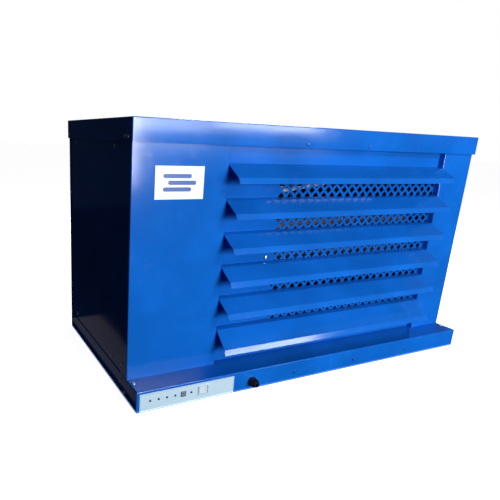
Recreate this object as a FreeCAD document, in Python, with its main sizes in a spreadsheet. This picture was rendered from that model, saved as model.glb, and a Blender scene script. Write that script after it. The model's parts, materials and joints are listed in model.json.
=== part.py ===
"""Refrigerated air dryer: a sheet-steel cabinet on a tray base, built piece by piece.

Frame: the origin is the centre of the base's underside, +X runs to the right along the
front, -Y faces the front (the louvres) and +Z is up. Every length is in millimetres.
"""
import FreeCAD, Part
import math
import os

import Sketcher

Vector = FreeCAD.Vector
X_AXIS, Y_AXIS, Z_AXIS = Vector(1, 0, 0), Vector(0, 1, 0), Vector(0, 0, 1)

DIMENSIONS = {
    # cabinet
    "cabinet_width": 1000, "base_depth": 510, "ledge_depth": 57, "base_height": 48,
    "total_height": 585, "sheet": 1.5, "base_sheet": 2, "base_flange": 25,
    "floor_hole": 4.5, "floor_hole_side": 13, "floor_hole_end": 55,
    "lid_skirt": 45, "lid_side": 2, "lid_end": 7, "corner_return": 39, "rear_return": 12,
    "side_lap": 12, "rail_flat": 20, "rail_web": 25, "rail_drop": 65, "rail_stop": 15,
    # louvre bay
    "bay_left": -282, "bay_right": 389.5, "recess": 15, "window_left": -136,
    "window_right": 388, "window_low": 116, "window_high": 495, "grille_lap": 10,
    "grille_flap": 24, "blade_top": 501, "blade_pitch": 73.5, "blade_reach": 39,
    "blade_drop": 23, "blade_rise": 3, "lip_reach": 6, "lip_drop": 12,
    "low_blade_drop": 34, "low_lip_reach": 5,
    # badge, and the control strip on the front of the base
    "badge_left": -450.5, "badge_right": -341, "badge_low": 432, "badge_high": 497.5,
    "badge_thick": 1, "strip_left": -493, "strip_right": -263, "strip_low": 2,
    "strip_high": 42, "strip_thick": 0.8, "control_level": 24.3, "led_first": -469.3,
    "led_pitch": 19.45, "led_radius": 2.4, "led_length": 9, "button_side": 12,
    "button_front": 3, "button_back": 6, "board_gap": 8, "board_thick": 1.6,
    "switch_centre": -342.5, "switch_width": 26, "switch_tall": 22,
    "switch_shell_wide": 12, "switch_shell_tall": 10, "switch_wall": 1.1,
    "switch_depth": 26, "fit_gap": 0.1, "led_gap": 0.2, "button_gap": 0.3,
    "gland_place": -213, "gland_level": 20, "gland_thread": 8, "gland_bore": 4,
    "gland_nut": 10, "gland_flats": 20, "gland_reach": 21,
    # refrigeration circuit
    "exchanger_left": -175, "exchanger_right": 345, "exchanger_radius": 72,
    "exchanger_level": 315, "exchanger_depth": -83, "head_radius": 80, "head_thick": 12,
    "nozzle_offset": 38, "shell_wall": 4, "neck_radius": 20, "neck_drop": 90,
    "saddle_half": 50, "saddle_foot": 30, "compressor_place": -60, "compressor_depth": 80,
    "compressor_radius": 85, "compressor_low": 66, "compressor_high": 240,
    "compressor_foot": 4, "condenser_left": 75, "condenser_right": 455,
    "condenser_low": 62, "condenser_high": 458, "condenser_front": 20,
    "condenser_thick": 40, "shroud_depth": 50, "fan_centre": 265, "fan_level": 260,
    "fan_radius": 166, "ring_radius": 171, "ring_thick": 2, "hub_radius": 45,
    "fan_front": 122, "fan_thick": 36, "fan_shaft": 6, "shaft_clearance": 0.05,
    "motor_front": 168, "motor_length": 57, "motor_radius": 48, "bracket_thick": 3,
    "bracket_half": 8, "guard_lap": 12, "guard_hub": 20, "drier_place": 40,
    "drier_depth": -30, "drier_radius": 18,
    # air and condensate
    "air_pipe": 14, "pipe_wall": 2, "pipe_end": 5, "port_bore": 15.15, "port_outer": 21,
    "port_length": 21, "inlet_place": -400, "outlet_place": -310,
    "separator_place": -130, "separator_radius": 42, "separator_head": 20,
    "separator_bowl": 119, "drain_level": 70, "drain_tube": 5, "drain_wall": 1.5,
    "drain_exit": -430, "spigot_length": 18, "spigot_flange": 3, "spigot_inside": 8,
    "ball_valve_place": -300, "solenoid_left": -370, "interval_place": -357,
    "opening_place": -333,
}

doc = FreeCAD.newDocument("air_dryer")
sheet = doc.addObject("Spreadsheet::Sheet", "dims")
for row, (alias, number) in enumerate(DIMENSIONS.items(), start=1):
    sheet.set(f"A{row}", alias)
    sheet.set(f"B{row}", str(number))
    sheet.setAlias(f"B{row}", alias)
doc.recompute()

nodes = {}


def dim(alias):
    """The number that the sheet holds under this alias."""
    return float(getattr(sheet, alias))


def expression(text):
    """The text with each alias in square brackets turned into a reference to the sheet."""
    out = str(text)
    for alias in DIMENSIONS:
        out = out.replace(f"[{alias}]", f"dims.{alias}")
    return out


def value(text):
    """The number that such a text gives when the sheet's numbers are put in."""
    holder = doc.addObject("App::FeaturePython", "holder")
    holder.addProperty("App::PropertyFloat", "Result")
    holder.setExpression("Result", expression(text))
    doc.recompute([holder])
    result = float(holder.Result)
    doc.removeObject(holder.Name)
    return result


# Places that many pieces share, as expressions on the sheet
LEFT, RIGHT = "(-[cabinet_width] / 2)", "([cabinet_width] / 2)"
TRAY_FRONT, BACK = "(-[base_depth] / 2)", "([base_depth] / 2)"
FRONT = "([ledge_depth] - [base_depth] / 2)"
RECESS = f"({FRONT} + [recess])"
DECK, UNDER_LID = "[base_height]", "([total_height] - [sheet])"
CONDENSER_BACK = "([condenser_front] + [condenser_thick])"
SHROUD_BACK = f"({CONDENSER_BACK} + [shroud_depth])"
RING_BACK = "([motor_front] - [bracket_thick])"
# Steps along the row of controls: the button takes the fifth place among the lamps
LAMP_STEPS, BUTTON_STEP = (0, 1, 2, 3, 5), 4


def row_place(step):
    """Expression for the place of a lamp or the button in the row of controls."""
    return f"([led_first] + {step} * [led_pitch])"


BUTTON_PLACE = row_place(BUTTON_STEP)


def keep(obj, label):
    """Give a finished sub-part its own label and list it as a node."""
    obj.Label = label
    nodes[label] = obj
    return obj


def about(place, half):
    """The two ends, as expressions, of a span centred on a place."""
    return (f"{place} - {half}", f"{place} + {half}")


def oblong(across, half_wide, level, half_tall):
    """Corners, as expressions, of an upright rectangle centred on a place and a level."""
    (left, right), (low, high) = about(across, half_wide), about(level, half_tall)
    return [(left, low), (right, low), (right, high), (left, high)]


def box(name, x, y, z):
    """A block between three pairs of expressions."""
    solid = doc.addObject("Part::Box", name)
    for prop, axis, (low, high) in zip(("Length", "Width", "Height"), "xyz", (x, y, z)):
        solid.setExpression(prop, expression(f"({high}) - ({low})"))
        solid.setExpression(f"Placement.Base.{axis}", expression(low))
    return solid


def rod(name, start, radius, length, axis="z"):
    """A cylinder from a start point along +X, +Y or +Z."""
    solid = doc.addObject("Part::Cylinder", name)
    solid.setExpression("Radius", expression(radius))
    solid.setExpression("Height", expression(length))
    turns = {"x": (Y_AXIS, 90), "y": (X_AXIS, -90), "z": (Z_AXIS, 0)}
    solid.Placement.Rotation = FreeCAD.Rotation(*turns[axis])
    for letter, place in zip("xyz", start):
        solid.setExpression(f"Placement.Base.{letter}", expression(place))
    return solid


def fuse(name, shapes):
    """One solid from several that touch or overlap."""
    joined = doc.addObject("Part::MultiFuse", name)
    joined.Shapes = shapes
    joined.Refine = True
    return joined


def cut(name, base, tools):
    """The base less one or more tools, with a check that something was cut."""
    tool = tools[0] if len(tools) == 1 else fuse(f"{name}_tools", tools)
    result = doc.addObject("Part::Cut", name)
    result.Base, result.Tool, result.Refine = base, tool, True
    doc.recompute()
    if result.Shape.Volume > base.Shape.Volume - 0.01:
        raise ValueError(f"{name}: the cut removed nothing")
    return result


def feature(label, shape):
    """A Part::Feature for a shape that primitives and bodies don't fit."""
    obj = doc.addObject("Part::Feature", label)
    obj.Shape = shape
    return keep(obj, label)


def compound(label, solids):
    """Separate solids kept together as one node."""
    group = doc.addObject("Part::Compound", label)
    group.Links = solids
    return keep(group, label)


def body_plane(body, role):
    """One of a body's own origin planes."""
    return [item for item in body.Origin.OriginFeatures if item.Role == role][0]


def outline(body, name, role, points):
    """A closed sketch whose corners are pinned to expressions on the sheet."""
    sketch = body.newObject("Sketcher::SketchObject", name)
    sketch.AttachmentSupport = [(body_plane(body, role), "")]
    sketch.MapMode = "FlatFace"
    places = [Vector(value(across), value(up), 0) for across, up in points]
    count = len(places)
    for index, here in enumerate(places):
        sketch.addGeometry(Part.LineSegment(here, places[(index + 1) % count]), False)
    for index in range(count):
        sketch.addConstraint(
            Sketcher.Constraint("Coincident", index, 2, (index + 1) % count, 1))
    for index, (across, up) in enumerate(points):
        corner = places[index]
        for kind, text, number in (("DistanceX", across, corner.x), ("DistanceY", up, corner.y)):
            spot = sketch.addConstraint(Sketcher.Constraint(kind, -1, 1, index, 1, number))
            title = f"corner{index}{kind[-1]}"
            sketch.renameConstraint(spot, title)
            sketch.setExpression(f"Constraints.{title}", expression(text))
    return sketch


def circle(body, name, role, centre, radius):
    """A sketch of one circle whose centre and radius come from the sheet."""
    sketch = body.newObject("Sketcher::SketchObject", name)
    sketch.AttachmentSupport = [(body_plane(body, role), "")]
    sketch.MapMode = "FlatFace"
    middle = Vector(value(centre[0]), value(centre[1]), 0)
    sketch.addGeometry(Part.Circle(middle, Z_AXIS, value(radius)), False)
    pins = (("DistanceX", centre[0], middle.x), ("DistanceY", centre[1], middle.y))
    for kind, text, number in pins:
        spot = sketch.addConstraint(Sketcher.Constraint(kind, -1, 1, 0, 3, number))
        sketch.renameConstraint(spot, f"centre{kind[-1]}")
        sketch.setExpression(f"Constraints.centre{kind[-1]}", expression(text))
    spot = sketch.addConstraint(Sketcher.Constraint("Radius", 0, value(radius)))
    sketch.renameConstraint(spot, "size")
    sketch.setExpression("Constraints.size", expression(radius))
    return sketch


def pad(body, sketch, length, midplane=False):
    """Pad a sketch by an expression."""
    step = body.newObject("PartDesign::Pad", f"{sketch.Name}_pad")
    step.Profile = sketch
    step.Midplane = midplane
    step.setExpression("Length", expression(length))
    doc.recompute()
    return step


def pocket(body, sketch, length=None, midplane=False, flip=False):
    """Cut a sketch through a body, or to a depth, and check that it really cuts."""
    before = body.Shape.Volume
    step = body.newObject("PartDesign::Pocket", f"{sketch.Name}_pocket")
    step.Profile = sketch
    step.Midplane, step.Reversed = midplane, flip
    if length is None:
        step.Type = "ThroughAll"
    else:
        step.setExpression("Length", expression(length))
    doc.recompute()
    if body.Shape.Volume > before - 0.01:
        raise ValueError(f"{sketch.Name}: the pocket removed nothing")
    return step


def revolve(label, points, base):
    """A body turned from a half outline (radius, height) about an upright axis at base."""
    body = doc.addObject("PartDesign::Body", label)
    sketch = outline(body, f"{label}_half", "XZ_Plane", points)
    step = body.newObject("PartDesign::Revolution", f"{label}_turn")
    step.Profile = sketch
    step.ReferenceAxis = (sketch, ["V_Axis"])
    step.Angle = 360
    for letter, text in zip("xyz", base):
        body.setExpression(f"Placement.Base.{letter}", expression(text))
    doc.recompute()
    return keep(body, label)


def tube(points, radius, bend, bore=0.0):
    """A round tube along straight runs joined by tangent arcs."""
    corners = [Vector(*point) for point in points]
    edges = []
    start = corners[0]
    for before, here, after in zip(corners, corners[1:], corners[2:]):
        arrive = (here - before).normalize()
        leave = (after - here).normalize()
        half_turn = arrive.getAngle(leave) / 2
        reach = bend * math.tan(half_turn)
        first, last = here - arrive * reach, here + leave * reach
        inward = (leave - arrive).normalize()
        middle = here + inward * (bend / math.cos(half_turn) - bend)
        edges.append(Part.LineSegment(start, first).toShape())
        edges.append(Part.Arc(first, middle, last).toShape())
        start = last
    edges.append(Part.LineSegment(start, corners[-1]).toShape())
    path = Part.Wire(edges)
    heading = (corners[1] - corners[0]).normalize()

    def swept(size):
        ring = Part.Wire([Part.makeCircle(size, corners[0], heading)])
        return path.makePipeShell([ring], True, True)

    return swept(radius).cut(swept(bore)) if bore else swept(radius)


def screw(place, heading):
    """A cross-recessed pan-head screw whose head stands off the sheet along heading."""
    at, out = Vector(*place), Vector(*heading)
    head_radius, head_height, shank_radius, shank_length = 4.4, 2.4, 2, 9
    cross_length, cross_width, cross_floor = 4.6, 1, 1.3
    head = Part.makeCylinder(head_radius, head_height, at, out)
    rim = [edge for edge in head.Edges if (edge.CenterOfMass - at).dot(out) > 1]
    head = head.makeFillet(1.3, rim[:1])
    slot = Part.makeBox(cross_length, cross_width, head_height,
                        Vector(-cross_length / 2, -cross_width / 2, 0))
    cross = slot.fuse(slot.rotated(Vector(), Z_AXIS, 90))
    cross.Placement = FreeCAD.Placement(at + out * cross_floor, FreeCAD.Rotation(Z_AXIS, out))
    shank = Part.makeCylinder(shank_radius, shank_length, at - out * shank_length, out)
    return head.cut(cross).fuse(shank)


def screws(label, places):
    """Identical screws, (place, heading) each, as separate solids in one node."""
    return feature(label, Part.makeCompound([screw(*item) for item in places]))


def hexagon(across_flats, start, length):
    """A hexagonal prism along +Y from a start point."""
    radius = across_flats / math.sqrt(3)
    corners = [Vector(start[0] + radius * math.cos(math.radians(60 * k)), start[1],
                      start[2] + radius * math.sin(math.radians(60 * k))) for k in range(6)]
    return Part.Face(Part.makePolygon(corners + corners[:1])).extrude(Vector(0, length, 0))


# ------------------------------------------------------------------ cabinet shell

def make_base_tray():
    """Tray welded from a deck plate and four skirts, open below."""
    wall = "[base_sheet]"
    under = (0, f"{DECK} - {wall}")
    between = (f"{TRAY_FRONT} + {wall}", f"{BACK} - {wall}")
    level = "[control_level]"
    behind = (f"{TRAY_FRONT} - 1", f"{TRAY_FRONT} + {wall} + 1")
    wide, tall = "([switch_shell_wide] + [fit_gap])", "([switch_shell_tall] + [fit_gap])"
    half = "([button_side] / 2 + [button_gap])"
    holes = [box("switch_cutout", about("[switch_centre]", wide), behind, about(level, tall)),
             box("button_cutout", about(BUTTON_PLACE, half), behind, about(level, half)),
             rod("gland_hole", ("[gland_place]", behind[0], "[gland_level]"),
                 "[gland_thread] + [fit_gap]", f"{wall} + 2", "y")]
    for step in LAMP_STEPS:
        holes.append(rod(f"led_hole_{step}", (row_place(step), behind[0], level),
                         "[led_radius] + [led_gap]", f"{wall} + 2", "y"))
    plate = box("front_plate", (LEFT, RIGHT), (TRAY_FRONT, f"{TRAY_FRONT} + {wall}"), under)
    compound("base_tray", [
        box("tray_deck", (LEFT, RIGHT), (TRAY_FRONT, BACK), (f"{DECK} - {wall}", DECK)),
        cut("front_skirt", plate, holes),
        box("back_skirt", (LEFT, RIGHT), (f"{BACK} - {wall}", BACK), under),
        box("left_skirt", (LEFT, f"{LEFT} + {wall}"), between, under),
        box("right_skirt", (f"{RIGHT} - {wall}", RIGHT), between, under)])


def make_base_flanges():
    """Flat strips welded inside the skirts' lower edge; the side ones have the floor holes."""
    inside, flange = "[base_sheet]", "[base_flange]"
    across = (f"{LEFT} + {inside}", f"{RIGHT} - {inside}")
    level = (0, inside)
    strips = [box("front_strip", across, (f"{TRAY_FRONT} + {inside}", f"{TRAY_FRONT} + {flange}"),
                  level),
              box("back_strip", across, (f"{BACK} - {flange}", f"{BACK} - {inside}"), level)]
    run = (f"{TRAY_FRONT} + {flange}", f"{BACK} - {flange}")
    for name, side, edge in (("left", -1, (f"{LEFT} + {inside}", f"{LEFT} + {flange}")),
                             ("right", 1, (f"{RIGHT} - {flange}", f"{RIGHT} - {inside}"))):
        across = f"{side} * ([cabinet_width] / 2 - [floor_hole_side])"
        holes = [rod(f"{name}_hole_{end + 1}",
                     (across, f"{end} * ([base_depth] / 2 - [floor_hole_end])", -1),
                     "[floor_hole]", f"{inside} + 2") for end in (-1, 1)]
        strips.append(cut(f"{name}_strip", box(f"{name}_bar", edge, run, level), holes))
    compound("base_flanges", strips)


def make_lid():
    """Shallow pan that drops over the cabinet's upper edge."""
    body = doc.addObject("PartDesign::Body", "lid")
    half_wide = "([cabinet_width] / 2 + [lid_side])"
    front, back = f"({FRONT} - [lid_end])", f"({BACK} + [lid_end])"
    rim = [(f"-{half_wide}", front), (half_wide, front), (half_wide, back),
           (f"-{half_wide}", back)]
    pad(body, outline(body, "lid_rim", "XY_Plane", rim), "[lid_skirt]")
    wall = "[sheet]"
    inner = [(f"{wall} - {half_wide}", f"{front} + {wall}"),
             (f"{half_wide} - {wall}", f"{front} + {wall}"),
             (f"{half_wide} - {wall}", f"{back} - {wall}"),
             (f"{wall} - {half_wide}", f"{back} - {wall}")]
    pocket(body, outline(body, "lid_inside", "XY_Plane", inner), f"[lid_skirt] - {wall}",
           flip=True)
    body.setExpression("Placement.Base.z", expression("[total_height] - [lid_skirt]"))
    keep(body, "lid")


def make_front_panels():
    """Flush panels beside the bay, each folded back at the corner and at the recess."""
    upright = (DECK, UNDER_LID)
    face = (FRONT, f"{FRONT} + [sheet]")
    corner = (FRONT, f"{FRONT} + [corner_return]")
    left = [box("left_face", (LEFT, "[bay_left]"), face, upright),
            box("left_corner", (LEFT, f"{LEFT} + [sheet]"), corner, upright),
            box("left_return", ("[bay_left] - [sheet]", "[bay_left]"), (FRONT, RECESS), upright)]
    keep(fuse("front_left_panel", left), "front_left_panel")
    right = [box("right_face", ("[bay_right]", RIGHT), face, upright),
             box("right_corner", (f"{RIGHT} - [sheet]", RIGHT), corner, upright),
             box("right_return", ("[bay_right]", "[bay_right] + [sheet]"), (FRONT, RECESS),
                 upright)]
    keep(fuse("front_right_post", right), "front_right_post")


def make_louvre_back_panel():
    """Recessed sheet behind the blades, with the window that the grille covers."""
    body = doc.addObject("PartDesign::Body", "louvre_back_panel")
    left, right = "([bay_left] - [sheet])", "([bay_right] + [sheet])"
    frame = [(left, DECK), (right, DECK), (right, UNDER_LID), (left, UNDER_LID)]
    pad(body, outline(body, "back_frame", "XZ_Plane", frame), "[sheet]")
    window = [("[window_left]", "[window_low]"), ("[window_right]", "[window_low]"),
              ("[window_right]", "[window_high]"), ("[window_left]", "[window_high]")]
    pocket(body, outline(body, "back_window", "XZ_Plane", window), "[sheet] * 4", midplane=True)
    body.setExpression("Placement.Base.y", expression(f"{RECESS} + [sheet]"))
    keep(body, "louvre_back_panel")


def make_blades(count=6):
    """Louvre blades: a short root, a sloping face and a lip folded down. The last is steeper.

    The factors on the sheet give its thickness across each slope and around the fold.
    """
    for index in range(count):
        last = index == count - 1
        drop = "[low_blade_drop]" if last else "[blade_drop]"
        lip = "[low_lip_reach]" if last else "[lip_reach]"
        label = f"louvre_blade_{index + 1}"
        body = doc.addObject("PartDesign::Body", label)
        fold = ("-[blade_reach]", f"-{drop}")
        tip = (f"-[blade_reach] - {lip}", f"-{drop} - [lip_drop]")
        under = "1.16 * [sheet]"
        section = [("[recess]", "[blade_rise]"), ("0", "0"), fold, tip,
                   (f"{tip[0]} + 1.1 * [sheet]", tip[1]),
                   (f"{fold[0]} + 0.77 * [sheet]", f"{fold[1]} - 0.71 * [sheet]"),
                   ("0", f"-{under}"), ("[recess]", f"[blade_rise] - {under}")]
        pad(body, outline(body, f"section_{index + 1}", "YZ_Plane", section),
            "[bay_right] - [bay_left]")
        body.setExpression("Placement.Base.x", expression("[bay_left]"))
        body.setExpression("Placement.Base.y", expression(FRONT))
        body.setExpression("Placement.Base.z",
                           expression(f"[blade_top] - {index} * [blade_pitch]"))
        keep(body, label)


def make_grille():
    """Flat plate for the grille: it laps the window and is screwed along its left and foot."""
    behind = f"({RECESS} + [sheet])"
    keep(box("grille", ("[window_left] - [grille_flap]", "[window_right] + [grille_lap]"),
             (behind, f"{behind} + [sheet]"),
             ("[window_low] - [grille_flap]", "[window_high] + [grille_lap]")), "grille")


def make_side_panels():
    """Removable side panels, set in behind the corner and rear returns."""
    run = (f"{FRONT} + [corner_return] - [side_lap]", f"{BACK} - 2 * [sheet]")
    upright = (f"{DECK} + 1", UNDER_LID)
    keep(box("left_side_panel", (f"{LEFT} + [sheet]", f"{LEFT} + 2 * [sheet]"), run, upright),
         "left_side_panel")
    keep(box("right_side_panel", (f"{RIGHT} - 2 * [sheet]", f"{RIGHT} - [sheet]"), run, upright),
         "right_side_panel")


def make_panel_rails():
    """Inner angles that the side panels screw to, and the channel over the bay."""
    solids = []
    run = (f"{FRONT} + [corner_return]", f"{BACK} - [rail_stop]")
    for side, name in ((-1, "left"), (1, "right")):
        wall = f"{side} * ([cabinet_width] / 2 - 2 * [sheet])"
        inner = f"{wall} - {side} * [rail_flat]"
        thin = f"{wall} - {side} * [sheet]"
        flat = (wall, inner) if side < 0 else (inner, wall)
        web = (wall, thin) if side < 0 else (thin, wall)
        for level, tag in ((DECK, "low"), (f"({UNDER_LID} - [rail_drop])", "high")):
            upright = box(f"{name}_{tag}_web", web, run, (level, f"{level} + [rail_web]"))
            shelf = box(f"{name}_{tag}_flat", flat, run, (level, f"{level} + [sheet]"))
            solids.append(fuse(f"{name}_{tag}_rail", [upright, shelf]))
    bay = ("[bay_left]", "[bay_right]")
    bottom = "([total_height] - [lid_skirt] + 1)"
    solids.append(fuse("bay_channel", [
        box("channel_face", bay, (FRONT, f"{FRONT} + [sheet]"), (bottom, UNDER_LID)),
        box("channel_floor", bay, (FRONT, RECESS), (bottom, f"{bottom} + [sheet]"))]))
    compound("panel_rails", solids)


def make_rear_panel():
    """Rear sheet with side returns, the fan outlet and holes for the pipes."""
    upright = (DECK, UNDER_LID)
    face = box("rear_face", (LEFT, RIGHT), (f"{BACK} - [sheet]", BACK), upright)
    back = (f"{BACK} - [rear_return]", BACK)
    left = box("rear_left", (LEFT, f"{LEFT} + [sheet]"), back, upright)
    right = box("rear_right", (f"{RIGHT} - [sheet]", RIGHT), back, upright)
    start = f"{BACK} - 5"
    holes = [rod("fan_outlet", ("[fan_centre]", start, "[fan_level]"), "[ring_radius] + 1", 10, "y")]
    for name, place, level in (("inlet", "[inlet_place]", "[exchanger_level] + [nozzle_offset]"),
                               ("outlet", "[outlet_place]", "[exchanger_level] - [nozzle_offset]")):
        holes.append(rod(f"{name}_hole", (place, start, level), "[port_outer] + 1", 10, "y"))
    holes.append(rod("drain_hole", ("[drain_exit]", start, "[drain_level]"),
                     "[drain_tube] + 1", 10, "y"))
    keep(cut("rear_panel", fuse("rear_sheet", [face, left, right]), holes), "rear_panel")


def make_fan_guard():
    """Wire guard over the fan outlet: rings welded to the outside of straight spokes."""
    wire, spoke = 1.6, 2.0
    centre = Vector(dim("fan_centre"), dim("base_depth") / 2 + spoke, dim("fan_level"))
    hub, reach = dim("guard_hub"), dim("ring_radius") + dim("guard_lap")
    first, last = hub + spoke + 10, reach - 2 * spoke
    rings = 8
    solids = []
    for turn in range(4):
        angle = math.radians(45 + 90 * turn)
        heading = Vector(math.cos(angle), 0, math.sin(angle))
        inner = hub - spoke
        solids.append(Part.makeCylinder(spoke, reach - inner, centre + heading * inner, heading))
    for step in range(rings):
        radius = first + step * (last - first) / (rings - 1)
        ring_centre = centre + Vector(0, spoke + wire, 0)
        solids.append(Part.makeTorus(radius, wire, ring_centre, Y_AXIS))
    hub_disc = Part.makeCylinder(hub, 2 * spoke, centre - Vector(0, spoke, 0), Y_AXIS)
    solids = [hub_disc.fuse(solids[:4])] + solids[4:]
    feature("fan_guard", Part.makeCompound(solids))


# ------------------------------------------------------------------ fasteners and plates

# Screw places: depths run back from the front plane, levels up from the floor
LID_SCREW_DROP, LID_SCREW_DEPTHS, LID_SCREW_PLACES = 36, (14, 30, 445), (-85, 103)
PANEL_SCREW_DEPTHS, PANEL_SCREW_LEVELS = (98, 390), (62, 530)
REAR_SCREW_INSET, REAR_SCREW_LEVELS = 14, (62, 300, 530)
GRILLE_SCREW_LEVELS, GRILLE_SCREW_STEP = (104, 292, 480), 188
DECK_SCREW_INSET, DECK_SCREW_AHEAD = 8.5, 19
BASE_SIDE_SCREWS = ((36, 30), (13, 11), (32, 72))
BASE_FRONT_LEVEL, BASE_FRONT_PLACES = 20, (-87.4, 105.7, 296.4)


def make_screws():
    """The three groups of screws: lid, panels with the grille, and base."""
    half, back = dim("cabinet_width") / 2, dim("base_depth") / 2
    front, recess = value(FRONT), value(RECESS)
    lid_level = dim("total_height") - LID_SCREW_DROP
    grille_left = dim("window_left") - dim("grille_flap") + 8
    lid, panel, base = [], [], []
    for side in (-1, 1):
        out = (side, 0, 0)
        for depth in LID_SCREW_DEPTHS:
            lid.append(((side * (half + dim("lid_side")), front + depth, lid_level), out))
        for depth in PANEL_SCREW_DEPTHS:
            for level in PANEL_SCREW_LEVELS:
                panel.append(((side * (half - dim("sheet")), front + depth, level), out))
        for level in REAR_SCREW_LEVELS:
            panel.append(((side * (half - REAR_SCREW_INSET), back, level), (0, 1, 0)))
        deck_place = (side * (half - DECK_SCREW_INSET), front - DECK_SCREW_AHEAD)
        base.append((deck_place + (dim("base_height"),), (0, 0, 1)))
        for depth, level in BASE_SIDE_SCREWS:
            base.append(((side * half, front + depth, level), out))
    for across in LID_SCREW_PLACES:
        lid.append(((across, front - dim("lid_end"), lid_level), (0, -1, 0)))
    for level in GRILLE_SCREW_LEVELS:
        panel.append(((grille_left, recess, level), (0, -1, 0)))
    for step in (1, 2):
        panel.append(((grille_left + GRILLE_SCREW_STEP * step, recess, GRILLE_SCREW_LEVELS[0]),
                      (0, -1, 0)))
    for across in BASE_FRONT_PLACES:
        base.append(((across, -back, BASE_FRONT_LEVEL), (0, -1, 0)))
    screws("lid_screws", lid)
    screws("panel_screws", panel)
    screws("base_screws", base)


def make_plates():
    """Blank badge on the front panel, and the strip that frames the controls."""
    keep(box("badge_plate", ("[badge_left]", "[badge_right]"), (f"{FRONT} - [badge_thick]", FRONT),
             ("[badge_low]", "[badge_high]")), "badge_plate")
    body = doc.addObject("PartDesign::Body", "control_strip")
    rim = [("[strip_left]", "[strip_low]"), ("[strip_right]", "[strip_low]"),
           ("[strip_right]", "[strip_high]"), ("[strip_left]", "[strip_high]")]
    pad(body, outline(body, "strip_rim", "XZ_Plane", rim), "[strip_thick]")
    half = "([button_side] / 2 + [button_gap])"
    level = "[control_level]"
    square = oblong(BUTTON_PLACE, half, level, half)
    through = "[strip_thick] * 10"
    pocket(body, outline(body, "strip_button", "XZ_Plane", square), through, midplane=True)
    wide, tall = "([switch_shell_wide] + [fit_gap])", "([switch_shell_tall] + [fit_gap])"
    opening = oblong("[switch_centre]", wide, level, tall)
    pocket(body, outline(body, "strip_switch", "XZ_Plane", opening), through, midplane=True)
    for step in LAMP_STEPS:
        ring = circle(body, f"strip_led_{step}", "XZ_Plane", (row_place(step), level),
                      "[led_radius] + [led_gap]")
        pocket(body, ring, through, midplane=True)
    body.setExpression("Placement.Base.y", expression(TRAY_FRONT))
    keep(body, "control_strip")


# ------------------------------------------------------------------ controls in the base

def make_controls():
    """Board, lamps, test button and the rocker switch with its housing."""
    board_ends = ("[led_first] - 14", f"{BUTTON_PLACE} + 34")
    board_face = f"({TRAY_FRONT} + [board_gap])"
    standoff_radius, standoff_inset, standoff_level = 3, 5, 36
    board = [box("board_sheet", board_ends, (board_face, f"{board_face} + [board_thick]"), (8, 41))]
    for name, place in (("left", f"{board_ends[0]} + {standoff_inset}"),
                        ("right", f"{board_ends[1]} - {standoff_inset}")):
        board.append(rod(f"{name}_standoff", (place, f"{TRAY_FRONT} + [base_sheet]",
                                              standoff_level), standoff_radius,
                         "[board_gap] - [base_sheet]", "y"))
    keep(fuse("control_board", board), "control_board")
    radius, length = dim("led_radius"), dim("led_length")
    lamps = []
    for step in LAMP_STEPS:
        spot = Vector(value(row_place(step)), value(board_face), dim("control_level"))
        stem = Part.makeCylinder(radius, length, spot, Vector(0, -1, 0))
        dome = Part.makeSphere(radius, spot - Vector(0, length, 0), Vector(0, -1, 0), 0, 90, 360)
        lamps.append(stem.fuse(dome))
    feature("status_lamps", Part.makeCompound(lamps))
    half = "[button_side] / 2"
    keep(box("test_button", about(BUTTON_PLACE, half),
             (f"{TRAY_FRONT} - [button_front]", f"{TRAY_FRONT} + [button_back]"),
             about("[control_level]", half)), "test_button")
    make_switch()


def make_switch():
    """Snap-in rocker switch: a housing with a bezel, and the rocker that tips in it."""
    place, level = "[switch_centre]", "[control_level]"
    skin = f"({TRAY_FRONT} - [strip_thick])"
    back = f"{skin} + [switch_depth]"
    wide, tall, wall = "[switch_shell_wide]", "[switch_shell_tall]", "[switch_wall]"
    bezel_thick, well_depth = 2, 12
    prong_step, prong_half_thick, prong_half_tall, prong_length = 7, 0.4, 3, 8
    bezel = box("switch_bezel", about(place, "[switch_width] / 2"),
                (f"{skin} - {bezel_thick}", skin), about(level, "[switch_tall] / 2"))
    shell = box("switch_shell", about(place, wide), (skin, back), about(level, tall))
    well = box("switch_well", about(place, f"({wide} - {wall})"),
               (f"{skin} - {bezel_thick} - 1", f"{skin} + {well_depth}"),
               about(level, f"({tall} - {wall})"))
    prongs = [box(f"prong_{k}", about(f"{place} + {prong_step * k}", prong_half_thick),
                  (back, f"{back} + {prong_length}"), about(level, prong_half_tall))
              for k in (-1, 0, 1)]
    keep(cut("switch_housing", fuse("switch_block", [bezel, shell] + prongs), [well]),
         "switch_housing")
    body = doc.addObject("PartDesign::Body", "rocker_switch")
    section = [("-9.4", "-7"), ("0", "-5.4"), ("9.4", "-7"), ("8.6", "-1"), ("2", "3"),
               ("-2", "3"), ("-8.6", "-1")]
    rocker_tall, rocker_tilt, pivot_depth = 17, -8, 4
    pad(body, outline(body, "rocker_section", "XY_Plane", section), rocker_tall, midplane=True)
    body.Placement.Rotation = FreeCAD.Rotation(Z_AXIS, rocker_tilt)
    for axis, text in zip("xyz", (place, f"{skin} + {pivot_depth}", level)):
        body.setExpression(f"Placement.Base.{axis}", expression(text))
    keep(body, "rocker_switch")


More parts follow.
